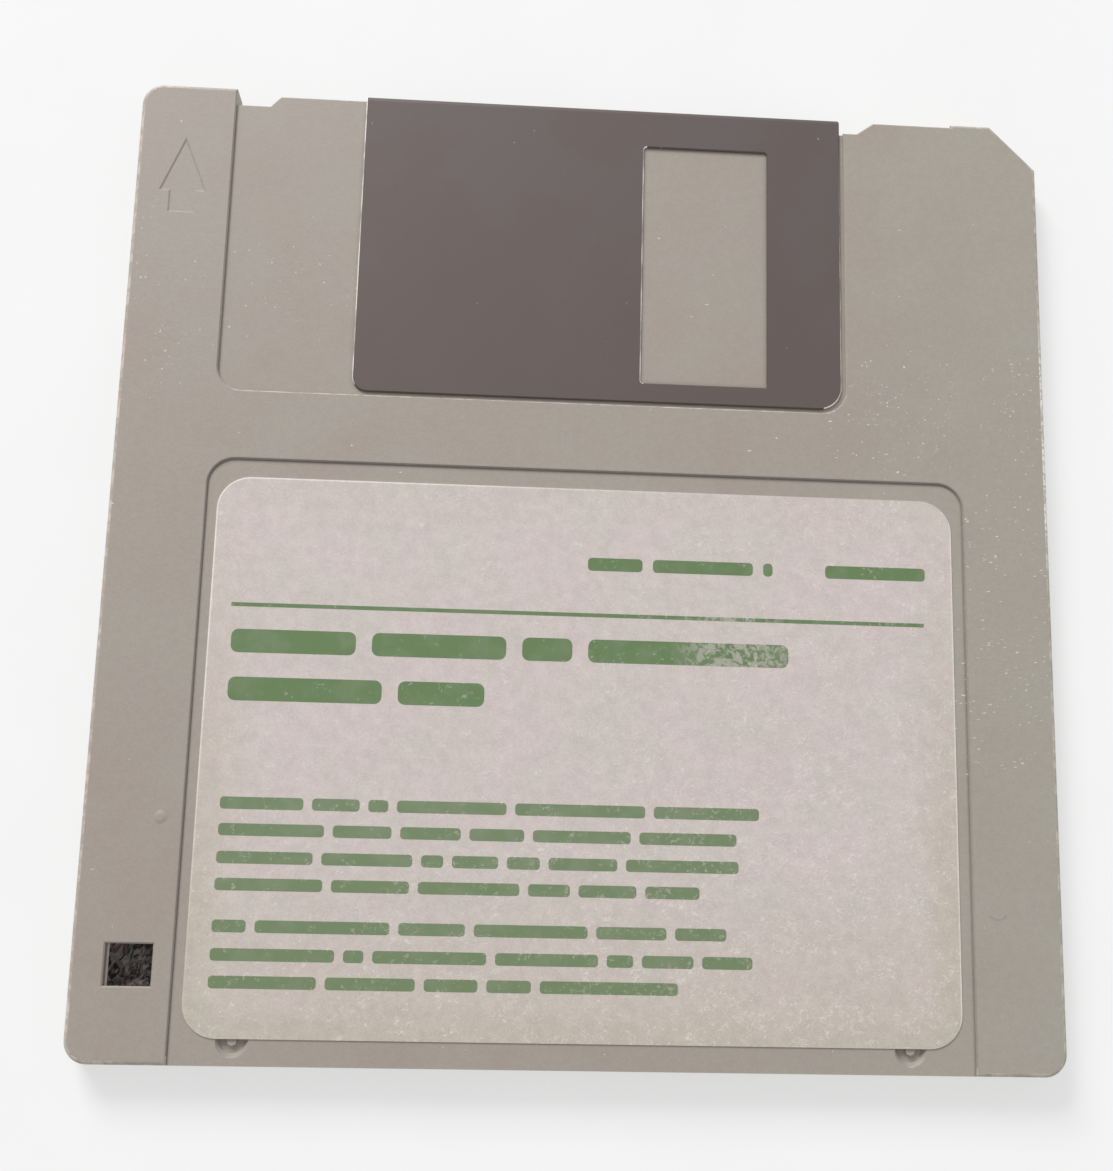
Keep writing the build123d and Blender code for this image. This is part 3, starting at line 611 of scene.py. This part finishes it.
# Its rims are worn to bare metal, which is a little rougher, and this bare metal is also a painted
# highlight.
BARE_HIGHLIGHT_METAL = (0.80, 0.77, 0.74, 1)
BARE_ROUGHER = 0.1
FACE_UP, SIDEWAYS = 0.95, 0.5
FOLD_Y = 46.0
RIM_REACH = 0.3
WORN_HIGHLIT_SIDE_X, WORN_HIGHLIT_SIDE_LEAD, WORN_HIGHLIT_SIDE_FULL = 23.0, 50.0, 24.0
WORN_HIGHLIT_CLOUDS, WORN_HIGHLIT_SHARE = (0.4, 3.0, 0.3, 0.6), (0.4, 1.0)
# Specks of dust lie on it.
SPECKS = {"Spacing": 1.6, "Radius": 0.13, "Share": 0.25}
SPECK_SHARE = 0.2


def make_shutter_material():
    """Satin sheet metal with a drift of tone, bare rims as wear and painted highlight, and specks
    of dust.
    """
    material, tree, out = empty_material("satin shutter metal")
    place = mm_place(tree)
    x, y = parts_of(tree, place)[:2]
    leans = parts_of(tree, node(tree, "TexCoord").outputs["Normal"])
    # A blanked edge is whatever doesn't face up or down, but for the folds and the spine.
    sloping = calc(tree, "LESS_THAN", calc(tree, "ABSOLUTE", leans["Z"]), FACE_UP)
    sideways = calc(tree, "GREATER_THAN", calc(tree, "ABSOLUTE", leans["X"]), SIDEWAYS)
    not_fold = calc(tree, "MAXIMUM", calc(tree, "LESS_THAN", y, FOLD_Y), sideways)
    edge = calc(tree, "MULTIPLY", sloping, not_fold)
    # Which rims are bare follows where highlights fall: a painted highlight as well as wear.
    at_left = calc(tree, "LESS_THAN", x, shutter_low.x + RIM_REACH)
    in_line = calc(tree, "COMPARE", x, PORT_LEFT, RIM_REACH)
    beside = calc(tree, "GREATER_THAN", y, PORT_REAR - RIM_REACH)
    by_port = calc(tree, "MULTIPLY", in_line, beside)
    right_side = calc(tree, "GREATER_THAN", x, WORN_HIGHLIT_SIDE_X)
    toward_foot = ramp(tree, y, WORN_HIGHLIT_SIDE_LEAD, WORN_HIGHLIT_SIDE_FULL)
    at_right = calc(tree, "MULTIPLY", right_side, toward_foot)
    rubbed = calc(tree, "MAXIMUM", at_left, calc(tree, "MAXIMUM", by_port, at_right))
    worn_and_highlit = calc(tree, "MULTIPLY", rubbed, cloudy(tree, place, WORN_HIGHLIT_CLOUDS, *WORN_HIGHLIT_SHARE))
    bare_and_highlit = calc(tree, "MULTIPLY", edge, worn_and_highlit)
    patches = use_effect(tree, PATCHES, {"Place": place, "Size": PATCH_SIZE})["Share"]
    feeds = {0: patches, 1: ramp(tree, y, WARM_FROM, WARM_AT, *WARM_SHARE)}
    share = node(tree, "Math", feeds, operation="ADD", use_clamp=True).outputs[0]
    satin = mixed(tree, share, SHEET_COOL, SHEET_WARM)
    speck = use_effect(tree, FLECKS, {"Place": place, **SPECKS})["Mask"]
    dusty = mixed(tree, calc(tree, "MULTIPLY", speck, SPECK_SHARE), satin, FLECK_AND_GLINT)
    grain = use_effect(tree, GRAIN, {"Place": place, "Grain": SHEET_GRAIN})
    rough = calc(tree, "MULTIPLY_ADD", grain["Shade"], SHEET_ROUGH_SPAN, SHEET_ROUGH)
    feeds = {
        "Base Color": mixed(tree, bare_and_highlit, dusty, BARE_HIGHLIGHT_METAL),
        "Metallic": calc(tree, "MULTIPLY_ADD", bare_and_highlit, 1.0 - SHEET_METALLIC, SHEET_METALLIC),
        "Roughness": calc(tree, "MULTIPLY_ADD", bare_and_highlit, BARE_ROUGHER, rough),
        "Normal": bumpy(tree, grain["Height"], SHEET_BUMP),
    }
    cover(tree, out, feeds)
    return material


dress("shutter", make_shutter_material())

# Shutter spring
# A hairpin of spring-steel wire with a coil at its bend, that pushes the shutter shut from the
# corner pocket. Drawing the wire has left it a little uneven in tone.
WIRE = (0.50, 0.49, 0.47, 1)
WIRE_DARK = (0.33, 0.32, 0.31, 1)
WIRE_ROUGH, WIRE_ROUGH_SPAN = 0.32, 0.06
WIRE_PATCH, WIRE_GRAIN = 1.6, 0.06
WIRE_BUMP = (0.3, 0.01)


def make_wire_material():
    """Drawn steel wire."""
    material, tree, out = empty_material("drawn spring wire")
    place = mm_place(tree)
    share = use_effect(tree, PATCHES, {"Place": place, "Size": WIRE_PATCH})["Share"]
    grain = use_effect(tree, GRAIN, {"Place": place, "Grain": WIRE_GRAIN})
    feeds = {
        "Base Color": mixed(tree, share, WIRE, WIRE_DARK),
        "Metallic": 1.0,
        "Roughness": calc(tree, "MULTIPLY_ADD", grain["Shade"], WIRE_ROUGH_SPAN, WIRE_ROUGH),
        "Normal": bumpy(tree, grain["Height"], WIRE_BUMP),
    }
    cover(tree, out, feeds)
    return material


dress("shutter_spring", make_wire_material())

# Magnetic disk
# Polyester film with a burnished brown oxide coating, stuck to the hub. Burnishing leaves very
# fine rings round the hub.
HUB_X, HUB_Y = 0.0, -1.0
OXIDE = (0.052, 0.036, 0.029, 1)
OXIDE_PALE = (0.074, 0.052, 0.041, 1)
RING_DETAIL = 4.0
RING_BUMP = (0.25, 0.01)
RING_ROUGH_SPAN = 0.1


def make_ring_effect():
    """Fine rings round the hub's middle, pitch mm apart, as turning or burnishing leaves them."""
    tree, start, end = new_effect(
        "turned rings",
        [("Place", "Vector", (0, 0, 0)), ("Pitch", "Float", 0.3)],
        [("Height", "Float")],
    )
    x, y = parts_of(tree, start["Place"])[:2]
    feeds = {0: calc(tree, "SUBTRACT", x, HUB_X), 1: calc(tree, "SUBTRACT", y, HUB_Y), 2: 0.0}
    level = node(tree, "CombineXYZ", feeds).outputs[0]
    away = node(tree, "VectorMath", {0: level}, operation="LENGTH").outputs["Value"]
    step = calc(tree, "DIVIDE", away, start["Pitch"])
    ring = node(tree, "CombineXYZ", {0: step, 1: 0.0, 2: 0.0}).outputs[0]
    tree.links.new(noise(tree, ring, 1.0, RING_DETAIL), end["Height"])
    return tree


RINGS = make_ring_effect()


def make_ringed(name, dark, pale, pitch, metallic, rough):
    """A surface of revolution with fine rings, drifting between two tones."""
    material, tree, out = empty_material(name)
    place = mm_place(tree)
    rings = use_effect(tree, RINGS, {"Place": place, "Pitch": pitch})["Height"]
    patches = use_effect(tree, PATCHES, {"Place": place, "Size": PATCH_SIZE})["Share"]
    share = calc(tree, "MULTIPLY", calc(tree, "ADD", rings, patches), 0.5)
    feeds = {
        "Base Color": mixed(tree, share, dark, pale),
        "Metallic": metallic,
        "Roughness": calc(tree, "MULTIPLY_ADD", rings, RING_ROUGH_SPAN, rough),
        "Normal": bumpy(tree, rings, RING_BUMP),
    }
    cover(tree, out, feeds)
    return material


oxide_film = make_ringed(
    "burnished oxide film", OXIDE, OXIDE_PALE, pitch=0.12, metallic=0.0, rough=0.22
)
dress("magnetic_disk", oxide_film)

# Hub and its adhesive
# A hub stamped from stainless steel, with faint turned rings from its rolled and polished
# blank, and the ring of pale adhesive that holds the film on its flange.
STEEL = (0.46, 0.45, 0.43, 1)
STEEL_PALE = (0.60, 0.59, 0.57, 1)
GLUE = (0.58, 0.52, 0.36, 1)
GLUE_PALE = (0.66, 0.61, 0.47, 1)
hub_steel = make_ringed(
    "stamped stainless steel", STEEL, STEEL_PALE, pitch=0.35, metallic=1.0, rough=0.27
)
dress("hub", hub_steel)
hub_glue = make_ringed("pale adhesive", GLUE, GLUE_PALE, pitch=1.1, metallic=0.0, rough=0.4)
dress("hub_adhesive_ring", hub_glue)

# Liners
# Two rings of white non-woven cloth, heat-tacked to the inside of the shells. They wipe the film
# as it turns, and are a felt of short fibres.
LINER_WHITE = (0.80, 0.80, 0.77, 1)
LINER_GREY = (0.62, 0.61, 0.58, 1)
LINER_FIBRE = (0.9, 0.9, 0.88, 1)
LINER_ROUGH, LINER_ROUGH_SPAN = 0.9, -0.15
LINER_PATCH, LINER_PATCH_SHARE = 2.5, 0.5
LINER_FIBRES = {"Length": 0.8, "Width": 0.09, "Share": 0.42}
LINER_FIBRE_SHARE = 0.6
LINER_BUMP = (0.8, 0.05)
# A fibre follows the middle value of a curly noise, and a second noise, shifted from the first,
# breaks it.
FIBRE_CURL, FIBRE_CORE = 0.8, 0.2
FIBRE_SHIFT = (31.0, 17.0, 5.0)
FIBRE_GONE, FIBRE_WHOLE = -0.02, 0.06


def make_fibre_effect():
    """Short curly fibres, about length mm long, that lie at random on a paper or a felt."""
    tree, start, end = new_effect(
        "fibres",
        [
            ("Place", "Vector", (0, 0, 0)),
            ("Length", "Float", 1.0),
            ("Width", "Float", 0.03),
            ("Share", "Float", 0.5),
        ],
        [("Mask", "Float")],
    )
    scale = calc(tree, "DIVIDE", 1.0, start["Length"])
    bend = noise(tree, start["Place"], scale, 2.0, FIBRE_CURL)
    off = calc(tree, "ABSOLUTE", calc(tree, "SUBTRACT", bend, 0.5))
    line = ramp(tree, calc(tree, "DIVIDE", off, start["Width"]), 1.0, FIBRE_CORE)
    shift = node(tree, "VectorMath", {0: start["Place"], 1: FIBRE_SHIFT}).outputs[0]
    gate = calc(tree, "SUBTRACT", noise(tree, shift, scale, 3.0), start["Share"])
    broken = ramp(tree, gate, FIBRE_GONE, FIBRE_WHOLE)
    tree.links.new(calc(tree, "MULTIPLY", line, broken), end["Mask"])
    return tree


FIBRES = make_fibre_effect()


def make_liner_material():
    """White felt with paler fibres on it."""
    material, tree, out = empty_material("non-woven liner")
    place = mm_place(tree)
    fibre = use_effect(tree, FIBRES, {"Place": place, **LINER_FIBRES})["Mask"]
    patches = use_effect(tree, PATCHES, {"Place": place, "Size": LINER_PATCH})["Share"]
    grey = calc(tree, "MULTIPLY", patches, LINER_PATCH_SHARE)
    colour = mixed(tree, grey, LINER_WHITE, LINER_GREY)
    shown = calc(tree, "MULTIPLY", fibre, LINER_FIBRE_SHARE)
    feeds = {
        "Base Color": mixed(tree, shown, colour, LINER_FIBRE),
        "Roughness": calc(tree, "MULTIPLY_ADD", fibre, LINER_ROUGH_SPAN, LINER_ROUGH),
        "Normal": bumpy(tree, fibre, LINER_BUMP),
    }
    cover(tree, out, feeds)
    return material


liner_cloth = make_liner_material()
dress("front_liner", liner_cloth)
dress("back_liner", liner_cloth)

# Lifter and wear pad
# A strip of springy polyester that presses the liner on the film, and a small slippery pad that
# the hub's middle runs against.
SHEETING = (0.70, 0.70, 0.66, 1)
SHEETING_DARK = (0.60, 0.60, 0.56, 1)
PAD = (0.84, 0.84, 0.81, 1)
PAD_DARK = (0.72, 0.71, 0.68, 1)
SHEETING_PATCH, SHEETING_GRAIN = 3.0, 0.15
SHEETING_BUMP = (0.3, 0.01)
SHEETING_ROUGH_SPAN = 0.05


def make_sheeting(name, pale, dark, rough):
    """Plain plastic sheet, with faint drifts of tone."""
    material, tree, out = empty_material(name)
    place = mm_place(tree)
    patches = use_effect(tree, PATCHES, {"Place": place, "Size": SHEETING_PATCH})["Share"]
    grain = use_effect(tree, GRAIN, {"Place": place, "Grain": SHEETING_GRAIN})
    feeds = {
        "Base Color": mixed(tree, patches, pale, dark),
        "Roughness": calc(tree, "MULTIPLY_ADD", grain["Shade"], SHEETING_ROUGH_SPAN, rough),
        "Normal": bumpy(tree, grain["Height"], SHEETING_BUMP),
    }
    cover(tree, out, feeds)
    return material


dress("liner_lifter", make_sheeting("polyester strip", SHEETING, SHEETING_DARK, rough=0.25))
dress("hub_wear_pad", make_sheeting("slippery pad", PAD, PAD_DARK, rough=0.35))

# Label
# A rounded paper label stuck in the sunk panel. It is a pinkish off-white, yellower toward its
# borders, and its face is rubbed up in pale curly fibres, most of all at the lower right.
PAPER = (0.640, 0.555, 0.535, 1)
PAPER_COOL = (0.615, 0.555, 0.520, 1)
PAPER_AGED = (0.530, 0.480, 0.400, 1)
PAPER_FIBRE = (0.82, 0.74, 0.70, 1)
PAPER_FRAY_AND_HIGHLIGHT = (0.86, 0.80, 0.77, 1)
PAPER_ROUGH, PAPER_ROUGH_SPAN = 0.72, 0.05
PAPER_PATCH, PAPER_GRAIN = 5.0, 0.2
PAPER_LEVEL = (0.95, 1.05)
PAPER_CLOUDS, PAPER_MOTTLE = (0.7, 4.0, 0.3, 0.7), (-0.035, 0.035)
PAPER_BUMP = (0.5, 0.02)
LABEL_R = 3.1
label_low, label_high = [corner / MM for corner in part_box("label")]
# The yellowing sets in some way from the border, along an uneven line, and is full at the border.
# It grows from the lead toward the rear, where a band of it runs along the rear edge.
AGED_FROM, AGED_FULL = 5.5, 0.3
AGED_SCALE, AGED_DETAIL, AGED_UNEVEN = 0.25, 3.0, 3.0
LEADWARD, REARWARD = 5.0, -40.0
AGED_SHARE = (0.15, 0.85)
BAND_FROM, BAND_FULL, BAND_SHARE = -25.0, -46.0, 0.55
# The cut edge is paler, most of all round the corner at the left and lead, and at the right
# side: partly fraying, partly a painted highlight where the edge catches the light.
CUT_FROM, CUT_FULL = 0.2, 0.04
CUT_AWAY, CUT_CORNER = -15.0, 32.0
CUT_RIGHT_FROM, CUT_RIGHT_FULL, CUT_RIGHT_SHARE = 0.3, 0.2, 0.6
# More fibres stand up toward the right and the rear, in clumps.
RUB_LEFT, RUB_RIGHT = -30.0, 30.0
RUB_FROM, RUB_FULL, RUB_GATE = 0.2, 1.8, (0.62, 0.48)
FIBRE_CLUMPS, CLUMP_GATE = (0.3, 4.0, 0.4, 0.6), (0.1, -0.04)
FIBRE_CLOUDS, FIBRE_FADED = (2.6, 2.0, 0.35, 0.6), (0.25, 1.0)
FIBRE_LENGTH, FIBRE_WIDTH = 0.6, 0.06
FIBRE_SHARE, FIBRE_HEIGHT = 0.5, 1.2


def make_paper_base(tree):
    """The paper's place, colour and fibres, which the print shows too where it is worn."""
    place = mm_place(tree)
    x, y = parts_of(tree, place)[:2]
    patches = use_effect(tree, PATCHES, {"Place": place, "Size": PAPER_PATCH})["Share"]
    colour = mixed(tree, patches, PAPER, PAPER_COOL)
    outline = (label_low.x, label_high.x, label_low.y, label_high.y, LABEL_R)
    inside = calc(tree, "MULTIPLY", outside_box(tree, x, y, *outline), -1.0)
    uneven = noise(tree, place, AGED_SCALE, AGED_DETAIL)
    drift = calc(tree, "MULTIPLY_ADD", uneven, AGED_UNEVEN, -AGED_UNEVEN / 2)
    rearward = ramp(tree, y, LEADWARD, REARWARD, *AGED_SHARE)
    border = ramp(tree, calc(tree, "ADD", inside, drift), AGED_FROM, AGED_FULL)
    band = ramp(tree, y, BAND_FROM, BAND_FULL, 0.0, BAND_SHARE)
    aged = calc(tree, "MAXIMUM", calc(tree, "MULTIPLY", border, rearward), band)
    colour = mixed(tree, aged, colour, PAPER_AGED)
    # A paler cut edge: fraying and a painted highlight.
    cut_corner = ramp(tree, calc(tree, "SUBTRACT", y, x), CUT_AWAY, CUT_CORNER)
    right_from, right_full = label_high.x - CUT_RIGHT_FROM, label_high.x - CUT_RIGHT_FULL
    cut_right = ramp(tree, x, right_from, right_full, 0.0, CUT_RIGHT_SHARE)
    fray_and_highlight_sides = calc(tree, "MAXIMUM", cut_corner, cut_right)
    fray_and_highlight = calc(tree, "MULTIPLY", ramp(tree, inside, CUT_FROM, CUT_FULL), fray_and_highlight_sides)
    colour = mixed(tree, fray_and_highlight, colour, PAPER_FRAY_AND_HIGHLIGHT)
    rub_x = ramp(tree, x, RUB_LEFT, RUB_RIGHT)
    rub_y = ramp(tree, y, LEADWARD, REARWARD)
    gate = ramp(tree, calc(tree, "ADD", rub_x, rub_y), RUB_FROM, RUB_FULL, *RUB_GATE)
    clumps = cloudy(tree, place, FIBRE_CLUMPS, *CLUMP_GATE)
    feeds = {
        "Place": place,
        "Length": FIBRE_LENGTH,
        "Width": FIBRE_WIDTH,
        "Share": calc(tree, "ADD", gate, clumps),
    }
    fibre = use_effect(tree, FIBRES, feeds)["Mask"]
    fibre = calc(tree, "MULTIPLY", fibre, cloudy(tree, place, FIBRE_CLOUDS, *FIBRE_FADED))
    return place, colour, fibre


def make_paper_material():
    """Mottled paper with its fibres standing up."""
    material, tree, out = empty_material("label paper")
    place, colour, fibre = make_paper_base(tree)
    colour = mixed(tree, calc(tree, "MULTIPLY", fibre, FIBRE_SHARE), colour, PAPER_FIBRE)
    grain = use_effect(tree, GRAIN, {"Place": place, "Grain": PAPER_GRAIN})
    mottle = cloudy(tree, place, PAPER_CLOUDS, *PAPER_MOTTLE)
    level = calc(tree, "ADD", mottle, ramp(tree, grain["Shade"], -1.0, 1.0, *PAPER_LEVEL))
    height = calc(tree, "MULTIPLY_ADD", fibre, FIBRE_HEIGHT, grain["Height"])
    feeds = {
        "Base Color": levelled(tree, colour, level),
        "Roughness": calc(tree, "MULTIPLY_ADD", grain["Shade"], PAPER_ROUGH_SPAN, PAPER_ROUGH),
        "Normal": bumpy(tree, height, PAPER_BUMP),
    }
    cover(tree, out, feeds)
    return material


dress("label", make_paper_material())

# Print on the label
# One green rule and rows of plain bars, as long as words are, printed in one ink. The ink lies
# thin on the paper and lets its fibres through, more so where the label has been rubbed.
INK = (0.080, 0.170, 0.044, 1)
INK_ROUGH, INK_ROUGH_SPAN = 0.6, 0.05
INK_GRAIN = 0.16
INK_BUMP = (0.4, 0.02)
INK_T = 0.012
INK_Z = label_high.z
INK_LEFT = -32.8
BAR_ROUND, BAR_STEPS = 0.3, 4
# Rows of bars: a baseline, where the first bar starts, and how long each is.
RULE_TALL, RULE_GAP = 0.36, 0.0
RULE_BARS = ((-5.6, -33.0, (65.5,)),)
TITLE_TALL, TITLE_GAP = 2.2, 1.5
TITLE_BARS = (
    (-9.95, INK_LEFT, (11.5, 12.5, 4.7, 19.0)),
    (-14.45, INK_LEFT, (14.1, 8.0)),
)
HEADER_TALL, HEADER_GAP = 1.25, 1.0
HEADER_BARS = (
    (-1.1, 0.2, (5.2, 9.6, 0.9)),
    (-1.1, 23.0, (9.7,)),
)
LINE_TALL, LINE_GAP = 1.1, 0.8
LINE_BARS = (
    (-24.4, INK_LEFT, (7.5, 4.3, 1.8, 10.0, 12.0, 9.8)),
    (-26.8, INK_LEFT, (9.5, 5.3, 5.5, 5.0, 9.0, 9.0)),
    (-29.3, INK_LEFT, (8.6, 8.2, 2.0, 4.2, 3.0, 6.3, 10.4)),
    (-31.7, INK_LEFT, (9.6, 7.0, 9.2, 3.8, 5.3, 5.0)),
    (-35.4, INK_LEFT, (3.0, 12.0, 6.0, 10.3, 6.4, 4.7)),
    (-37.9, INK_LEFT, (11.0, 1.8, 10.2, 9.3, 2.4, 4.7, 4.6)),
    (-40.3, INK_LEFT, (9.5, 8.0, 4.8, 4.0, 12.5)),
)
# A patch of the title is rubbed off, and the ink is thin in places.
PATCH_X, PATCH_Y, PATCH_R, PATCH_LOSS = 14.5, -8.4, 7.0, 0.5
LOSS_CLOUDS, LOSS_CURL = (1.6, 3.0, 0.42, 0.58), 0.8
THIN_CLOUDS, THIN_LOSS = (0.5, 4.0, 0.4, 0.7), (0.0, 0.07)
FIBRE_LOSS = 0.45


def make_ink_material(name, strength):
    """Green ink over the paper, with paper showing through it."""
    material, tree, out = empty_material(name)
    place, colour, fibre = make_paper_base(tree)
    feeds = {0: place, 1: (PATCH_X, PATCH_Y, INK_Z)}
    away = node(tree, "VectorMath", feeds, operation="DISTANCE").outputs["Value"]
    rub = ramp(tree, away, PATCH_R, PATCH_R / THICK_PART, 0.0, PATCH_LOSS)
    thin = cloudy(tree, place, THIN_CLOUDS, *THIN_LOSS)
    loss = calc(tree, "MAXIMUM", calc(tree, "MULTIPLY", fibre, FIBRE_LOSS), thin)
    rubbed = cloudy(tree, place, LOSS_CLOUDS, distortion=LOSS_CURL)
    loss = calc(tree, "ADD", loss, calc(tree, "MULTIPLY", rub, rubbed))
    feeds = {0: 1.0, 1: loss}
    kept = node(tree, "Math", feeds, operation="SUBTRACT", use_clamp=True).outputs[0]
    inked = mixed(tree, calc(tree, "MULTIPLY", kept, strength), colour, INK)
    grain = use_effect(tree, GRAIN, {"Place": place, "Grain": INK_GRAIN})
    feeds = {
        "Base Color": inked,
        "Roughness": calc(tree, "MULTIPLY_ADD", grain["Shade"], INK_ROUGH_SPAN, INK_ROUGH),
        "Normal": bumpy(tree, grain["Height"], INK_BUMP),
    }
    cover(tree, out, feeds)
    return material


def ink_bar(left, right, base, tall):
    """One bar of ink with rounded corners, lying on the label."""
    deselect()
    bpy.ops.mesh.primitive_plane_add(size=1.0)
    bar = bpy.context.object
    bar.scale = ((right - left) * MM, tall * MM, 1.0)
    bar.location = ((left + right) / 2 * MM, (base + tall / 2) * MM, INK_Z * MM)
    bpy.ops.object.transform_apply(location=True, rotation=True, scale=True)
    bpy.ops.object.mode_set(mode="EDIT")
    bpy.ops.mesh.select_all(action="SELECT")
    bpy.ops.mesh.bevel(offset=tall * BAR_ROUND * MM, segments=BAR_STEPS, affect="VERTICES")
    bpy.ops.mesh.select_all(action="SELECT")
    bpy.ops.mesh.extrude_region_move(TRANSFORM_OT_translate={"value": (0, 0, INK_T * MM)})
    bpy.ops.mesh.select_all(action="SELECT")
    bpy.ops.mesh.normals_make_consistent(inside=False)
    bpy.ops.object.mode_set(mode="OBJECT")
    return bar


def print_bars(name, rows, tall, gap, material):
    """Rows of bars of one height, with the same gap between neighbours."""
    bars = []
    for base, start, words in rows:
        for length in words:
            bars.append(ink_bar(start, start + length, base, tall))
            start += length + gap
    deselect()
    for bar in bars:
        bar.select_set(True)
    bpy.context.view_layer.objects.active = bars[0]
    if len(bars) > 1:
        bpy.ops.object.join()
    piece = finished(name, material)
    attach(piece, "body")


strong_ink = make_ink_material("green ink", strength=0.93)
light_ink = make_ink_material("thin green ink", strength=0.85)
print_bars("printed_rule", RULE_BARS, RULE_TALL, RULE_GAP, strong_ink)
print_bars("printed_title", TITLE_BARS, TITLE_TALL, TITLE_GAP, strong_ink)
print_bars("printed_header", HEADER_BARS, HEADER_TALL, HEADER_GAP, strong_ink)
print_bars("printed_lines", LINE_BARS, LINE_TALL, LINE_GAP, light_ink)
